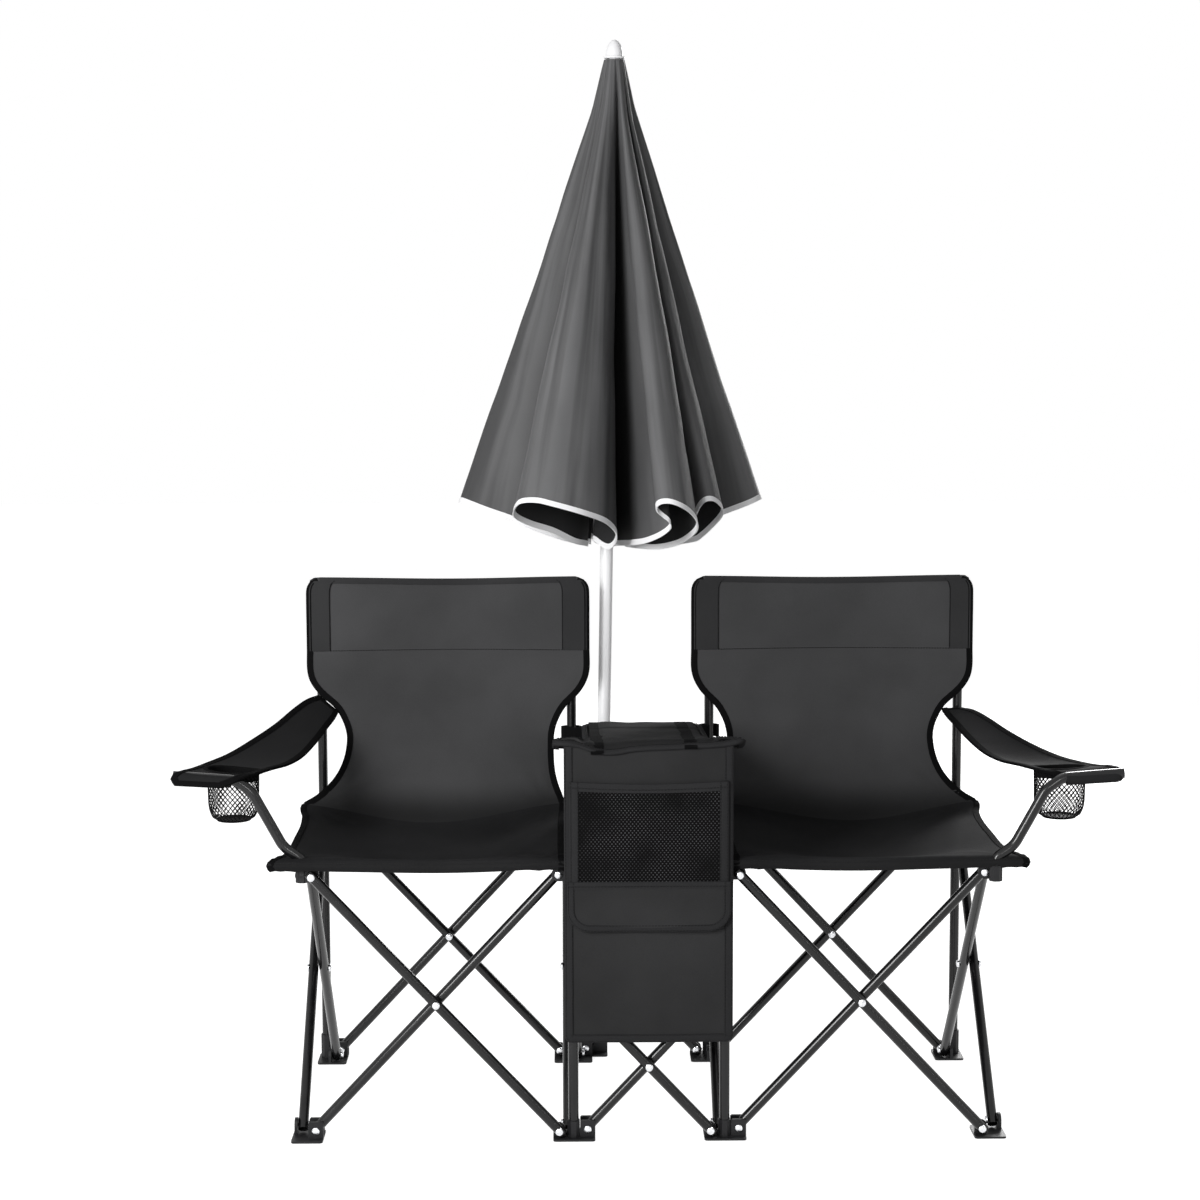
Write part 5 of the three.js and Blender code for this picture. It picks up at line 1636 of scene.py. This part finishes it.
lid = piece("lid_pad", [(lid_surface(), LID_CLOTH), ((rim_points, rim_faces), PANEL_TAPE),
                        (lid_slot(-1), TAPE), (lid_slot(1), TAPE),
                        (lid_stitch, THREAD)], "lid")
soften(lid, 45)
webbing = soften(piece("lid_webbing", [(lid_band(x), TAPE) for x in BANDS], "lid"), 35)
for made in (lid, webbing):
    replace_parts(made, "console_lid")
    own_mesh(made)
print("lid and its bands made")

# %% [markdown]
# The umbrella stands behind the console, leaning a hair to the right. Its pole is two white tubes,
# one inside the other, and a turned cap sits on top.

# %% Umbrella pole and finial
POLE_FOOT_X, POLE_Y, POLE_LEAN = -71.6, 466.0, 0.0181


def on_pole(z):
    """A point of the pole's axis, for a length measured along the pole in millimetres."""
    away = z / math.hypot(1, POLE_LEAN)
    return at_mm(POLE_FOOT_X + away * POLE_LEAN, POLE_Y, away)


POLE_WAY = (on_pole(1000) - on_pole(0)).normalized()
lower_tube = open_tube([on_pole(4), on_pole(400), on_pole(890)], 0.011, 0.0012, 32)
lower = piece("pole_lower_tube", [(lower_tube, WHITE_LACQUER)], "umbrella")
upper_tube = open_tube([on_pole(830), on_pole(1300), on_pole(1706)], 0.0094, 0.0012, 32)
upper = piece("pole_upper_tube", [(upper_tube, WHITE_LACQUER)], "umbrella")
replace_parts(soften(lower), "umbrella_pole_lower")
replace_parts(soften(upper), "umbrella_pole_upper")
cap = [(0.0098, 0.0), (0.0176, 0.0), (0.0180, 0.0006), (0.0180, 0.0024), (0.0174, 0.0030),
       (0.0150, 0.0032), (0.0145, 0.0040)]
for k in range(1, 15):
    a = math.pi / 2 * k / 14
    cap.append((max(0.0145 * math.cos(a), 0.0003), 0.0040 + 0.0270 * math.sin(a)))
finial = piece("finial_cap", [(turned_on(cap, on_pole(1696), POLE_WAY, 40), WHITE_PLASTIC)],
               "umbrella")
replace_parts(soften(finial), "umbrella_finial")
for name in ("umbrella_ribs", "umbrella_runner"):
    for material_slot in frame["nodes"][name].material_slots:
        material_slot.material = WHITE_PLASTIC
print("pole and finial made; the pole leans", round(math.degrees(math.atan(POLE_LEAN)), 2), "degrees")

# %% [markdown]
# The canopy is closed but not tied, so its eight panels hang as loose lobes. Cloth that hangs from
# one point makes straight falls, so the canopy is ruled: straight lines run from a small ring at
# the top to an outline at the hem. The outline was walked lobe by lobe on the picture: a wide open
# one at the front left whose end curls in, a lobe with a fold like an S beside it, a narrow open
# one, and five flatter ones at the sides and rear. Slanting creases and shallow falls are added
# with noise, and shade is painted into the colour deep in the folds, where little light reaches the
# cloth, and in faint streaks down the falls. The inner face has a darker copy of the cloth: painted
# shade, as little light reaches under the canopy.

# %% Canopy
HEM_LOW, HEM_HIGH, CANOPY_APEX, APEX_R = 888.0, 966.0, 1694.0, 16.6
VALLEY_R, TIP_R = 28.0, 250.0


def rear_lobe(angle, reach):
    """One lobe that nobody sees from the front: out to its tip and back to the next valley."""
    out = []
    for step, away in ((-12, 100), (-7, 180), (-3, reach - 10), (0, reach), (3, reach - 10), (7, 180),
                       (12, 100), (22, 29)):
        a = math.radians(angle + step)
        share = min(max((away - VALLEY_R) / (TIP_R - VALLEY_R), 0), 1.02)
        out.append((away * math.cos(a), away * math.sin(a), HEM_LOW + (HEM_HIGH - HEM_LOW) * share ** 0.9))
    return out


# the hem seen from above, from the tip at the right round by the rear: across, back, height
HEM = [(262, 8, 965), (250, 22, 962), (186, 28, 940), (100, 22, 912), (28, 12, 889)]
for angle, reach in ((44, 244), (91, 243), (136, 242)):
    HEM += rear_lobe(angle, reach)
HEM += [
    (-100, 20, 912), (-180, 24, 938), (-238, 15, 958), (-252, 0, 962), (-245, -18, 962), (-204, -40, 948),
    (-158, -55, 933), (-128, -61, 920), (-80, -50, 902), (-35, -26, 889),
    (-41, -60, 893), (-57, -85, 899), (-92, -120, 919), (-127, -155, 933), (-149, -184, 946),
    (-156, -205, 958),
    (-146, -224, 974), (-120, -232, 977), (-92, -235, 971), (-48, -225, 958), (-13, -195, 944),
    (3, -170, 932), (12, -150, 918), (11, -135, 902), (3, -122, 892), (-7, -108, 893), (-19, -92, 901),
    (-24, -76, 902), (-14, -52, 894), (2, -34, 889),
    (20, -58, 892), (41, -105, 897), (62, -148, 904), (84, -176, 916), (99, -187, 929), (98, -192, 940),
    (86, -194, 950), (76, -201, 961), (80, -213, 971), (95, -221, 974), (113, -216, 968), (130, -201, 957),
    (143, -180, 941), (145, -155, 924), (133, -126, 908), (117, -100, 896), (85, -78, 887), (52, -54, 887),
    (30, -26, 889),
    (62, -44, 895), (100, -66, 908), (128, -88, 925), (144, -108, 944), (150, -126, 960), (160, -136, 971),
    (172, -130, 971), (184, -116, 962), (190, -100, 950), (184, -80, 934), (160, -56, 906), (143, -44, 896),
    (90, -26, 889), (34, -10, 889),
    (100, -22, 905), (150, -34, 924), (200, -40, 944), (240, -26, 958), (258, -8, 965),
]


def closed_curve(controls, count):
    """A smooth closed line through the given points, evenly spaced along its length."""
    rough = []
    n = len(controls)
    for i in range(n):
        p0, p1, p2, p3 = (controls[(i + k - 1) % n] for k in range(4))
        for k in range(12):
            t = k / 12
            rough.append(tuple(
                0.5 * (2 * b + (c - a) * t + (2 * a - 5 * b + 4 * c - d) * t**2
                       + (3 * b - a - 3 * c + d) * t**3)
                for a, b, c, d in zip(p0, p1, p2, p3)))
    lengths = [0.0]
    for a, b in zip(rough, rough[1:] + rough[:1]):
        lengths.append(lengths[-1] + math.dist(a, b))
    made, k = [], 0
    for i in range(count):
        goal = lengths[-1] * i / count
        while lengths[k + 1] < goal:
            k += 1
        t = (goal - lengths[k]) / (lengths[k + 1] - lengths[k])
        a, b = rough[k], rough[(k + 1) % len(rough)]
        made.append(tuple(p + (q - p) * t for p, q in zip(a, b)))
    return made


plan = closed_curve(HEM, 760)


def canopy_point(k, s, lift=0.0):
    """A point of the cloth: k counts round the hem, s runs from the top (0) to the hem (1)."""
    x, y, low = plan[k % len(plan)]
    ahead_x, ahead_y = plan[(k + 1) % len(plan)][:2]
    back_x, back_y = plan[(k - 1) % len(plan)][:2]
    along = Vector((ahead_x - back_x, ahead_y - back_y, 0)).normalized()
    outward = Vector((along.y, -along.x, 0))
    r = math.hypot(x, y)
    start = Vector((x / r * APEX_R, y / r * APEX_R, CANOPY_APEX))
    end = Vector((x, y, low - 5.5))
    p = start.lerp(end, s)
    wide = math.hypot(p.x, p.y)
    hollow = min(s / 0.1, 1) * (1 - max(s - 0.1, 0) / 0.9) ** 1.1 * 7.6
    p -= Vector((p.x, p.y, 0)) / wide * min(hollow, 0.3 * max(wide - 18, 0))
    loose = min(max((math.hypot(p.x, p.y) - 34) / 60, 0), 1)
    if loose > 0:
        slant = Vector((x * 0.9 + p.z * 0.35, y * 0.9 - p.z * 0.22, p.z * 0.55)) / 95.0
        crease = noise.noise(slant) + 0.5 * noise.noise(slant * 2.3 + Vector((5.1, 2.7, 9.4)))
        p += outward * crease * 3.2 * loose * (1 - 0.5 * s)
        turn = math.tau * k / len(plan)
        fall = noise.noise(Vector((6.4 * math.cos(turn), 6.4 * math.sin(turn), s * 1.3)))
        fall += 0.6 * noise.noise(Vector((13 * math.cos(turn), 13 * math.sin(turn), 7 + s)))
        p += outward * fall * 8.0 * loose * math.sin(math.pi * min(s, 1)) ** 0.8
    p += outward * lift
    slide = p.z / math.hypot(1, POLE_LEAN)
    return at_mm(POLE_FOOT_X + slide * POLE_LEAN + p.x, POLE_Y + p.y, slide)


def canopy_part(s0, s1, rows, half):
    """Both faces of the cloth between two shares of its fall, closed at top and bottom."""
    n = len(plan)
    points = []
    for lift in (half, -half):
        for j in range(rows):
            s = s0 + (s1 - s0) * j / (rows - 1)
            points += [canopy_point(k, s, lift) for k in range(n)]
    base = n * rows
    faces = grid_faces(n, rows, closed=True, flip=True)
    faces += grid_faces(n, rows, base=base, closed=True)
    last = (rows - 1) * n
    for i in range(n):
        k = (i + 1) % n
        faces.append((i, k, base + k, base + i))
        faces.append((last + k, last + i, base + last + i, base + last + k))
    return points, faces


def shade_folds(material, valley, streak):
    """Paints shade into the cloth: darker near the pole, deep in the folds, and in faint streaks down the falls.
    """
    tree = material.node_tree
    parts = parts_of_place(tree)
    foot = at_mm(POLE_FOOT_X, POLE_Y, 0)
    middle = maths(tree, "MULTIPLY_ADD", parts["Z"], POLE_LEAN)
    tree.nodes[-1].inputs[2].default_value = foot.x
    across = maths(tree, "SUBTRACT", parts["X"], middle)
    behind = maths(tree, "SUBTRACT", parts["Y"], foot.y)
    squares = maths(tree, "ADD", maths(tree, "MULTIPLY", across, across),
                    maths(tree, "MULTIPLY", behind, behind))
    away = maths(tree, "SQRT", squares)
    # how far the lobes' tips reach at this height
    reach = maths(tree, "MULTIPLY_ADD", maths(tree, "SUBTRACT", CANOPY_APEX / 1000, parts["Z"]), 0.33)
    tree.nodes[-1].inputs[2].default_value = 0.014
    depth = rise_of(tree, maths(tree, "DIVIDE", away, reach), 0.2, 0.85, valley)
    turn = tree.nodes.new("ShaderNodeCombineXYZ")
    tree.links.new(maths(tree, "MULTIPLY", maths(tree, "DIVIDE", across, away), 5.0), turn.inputs["X"])
    tree.links.new(maths(tree, "MULTIPLY", maths(tree, "DIVIDE", behind, away), 5.0), turn.inputs["Y"])
    tree.links.new(parts["Z"], turn.inputs["Z"])
    lines = tree.nodes.new("ShaderNodeTexNoise")
    lines.inputs["Scale"].default_value = 1.6
    lines.inputs["Detail"].default_value = 3
    tree.links.new(turn.outputs[0], lines.inputs["Vector"])
    faint = rise_of(tree, lines.outputs["Fac"], 0.36, 0.6, streak, "LINEAR")
    darken(tree, maths(tree, "MULTIPLY", depth, faint))


# painted shade in the canopy's folds and in streaks down its falls
shade_folds(CANOPY_CLOTH, 0.12, 0.5)
canopy = piece("canopy", [(canopy_part(0, 0.9895, 50, 0.5), CANOPY_CLOTH),
                          (canopy_part(0.9885, 1.0, 4, 1.1), CANOPY_HEM)], "umbrella")
# the inner face takes the darker copy of the cloth: painted shade
canopy.data.materials.append(CANOPY_INSIDE_SHADE)
inside = len(plan) * 49
for polygon in canopy.data.polygons[inside:2 * inside]:
    polygon.material_index = len(canopy.data.materials) - 1
soften(canopy, 60)
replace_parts(canopy, "umbrella_canopy")
size, area = cut_of(lambda u, v: canopy_point(round(u * len(plan)), v), len(plan) // 2, 30)
print("canopy hem is", size[0], "m round, its cloth", area, "square metres")

# %% [markdown]
# The setting is a plain white studio. The floor and the background come out white for the camera
# through Is Camera Ray, and the same white is there for reflections, but the light itself stays at
# a plain level. One soft lamp stands at the front left at chest height, which leaves the level
# seats dark. A weaker one stands in front, and two narrow strips draw bright streaks along the
# black tubes, because a round tube mirrors a lamp as a thin line. One lamp stands behind, so that
# the backs and the canopy read from the rear as well, and a faint one lights the top.

# %% Floor and backdrop


def any_ray(tree, *kinds):
    """1 for a ray of any of the given kinds."""
    ray = tree.nodes.new("ShaderNodeLightPath")
    seen = ray.outputs[kinds[0]]
    for kind in kinds[1:]:
        seen = maths(tree, "MAXIMUM", seen, ray.outputs[kind])
    return seen


def make_floor():
    material, tree, shader = new_material("studio_floor")
    shader.inputs["Base Color"].default_value = (0.5, 0.5, 0.5, 1)
    grain = tree.nodes.new("ShaderNodeTexNoise")
    grain.inputs["Scale"].default_value = 60
    tree.links.new(place(tree), grain.inputs["Vector"])
    tree.links.new(spread_of(tree, grain.outputs["Fac"], 0.85, 0.95), shader.inputs["Roughness"])
    out = tree.nodes["Material Output"]
    glow = tree.nodes.new("ShaderNodeEmission")
    glow.inputs["Color"].default_value = (1, 1, 1, 1)
    glow.inputs["Strength"].default_value = 0.86
    both = tree.nodes.new("ShaderNodeAddShader")
    tree.links.new(shader.outputs[0], both.inputs[0])
    tree.links.new(glow.outputs[0], both.inputs[1])
    seen = any_ray(tree, "Is Camera Ray", "Is Glossy Ray")
    pick = tree.nodes.new("ShaderNodeMixShader")
    tree.links.new(seen, pick.inputs[0])
    tree.links.new(shader.outputs[0], pick.inputs[1])
    tree.links.new(both.outputs[0], pick.inputs[2])
    tree.links.new(pick.outputs[0], out.inputs["Surface"])
    return material


floor_mesh = bpy.data.meshes.new("studio_floor")
reach = 14.0
floor_mesh.from_pydata([(-reach, -reach, 0), (reach, -reach, 0), (reach, reach, 0), (-reach, reach, 0)],
                       [], [(0, 1, 2, 3)])
floor_mesh.materials.append(make_floor())
studio_floor = bpy.data.objects.new("studio_floor", floor_mesh)
bpy.context.scene.collection.objects.link(studio_floor)
studio_floor.location.z = -0.0005

world = bpy.data.worlds.new("studio")
bpy.context.scene.world = world
world.use_nodes = True
tree = world.node_tree
background = tree.nodes["Background"]
background.inputs["Color"].default_value = (1, 1, 1, 1)
seen = any_ray(tree, "Is Camera Ray", "Is Glossy Ray", "Is Transmission Ray")
level = maths(tree, "MULTIPLY_ADD", seen, 0.85)
tree.nodes[-1].inputs[2].default_value = 0.15
tree.links.new(level, background.inputs["Strength"])
print("floor and background are white to the camera")

# %% Lamps


def lamp(name, at, aim, width, height, power):
    data = bpy.data.lights.new(name, "AREA")
    data.shape = "RECTANGLE"
    data.size, data.size_y = width, height
    data.energy = power
    made = bpy.data.objects.new(name, data)
    bpy.context.scene.collection.objects.link(made)
    made.location = at
    made.rotation_euler = (Vector(aim) - Vector(at)).to_track_quat("-Z", "Y").to_euler()
    return made


lamp("key", (-1.85, -2.6, 1.55), (0, 0, 0.9), 1.0, 1.4, 100)
lamp("front", (0.3, -3.9, 1.5), (0, 0, 0.8), 0.4, 0.9, 17)
lamp("strip_right", (3.0, -3.2, 1.3), (0, 0, 0.6), 0.05, 2.4, 7)
lamp("strip_left", (-1.4, -3.6, 1.0), (0, 0, 0.5), 0.05, 2.2, 6)
lamp("behind", (1.8, 3.5, 1.9), (0, 0, 0.8), 1.4, 1.4, 120)
lamp("top", (-0.3, 0.6, 3.4), (0, 0.3, 0.6), 1.6, 1.2, 5)
bpy.context.scene.view_settings.view_transform = "Standard"
print("lamps placed")
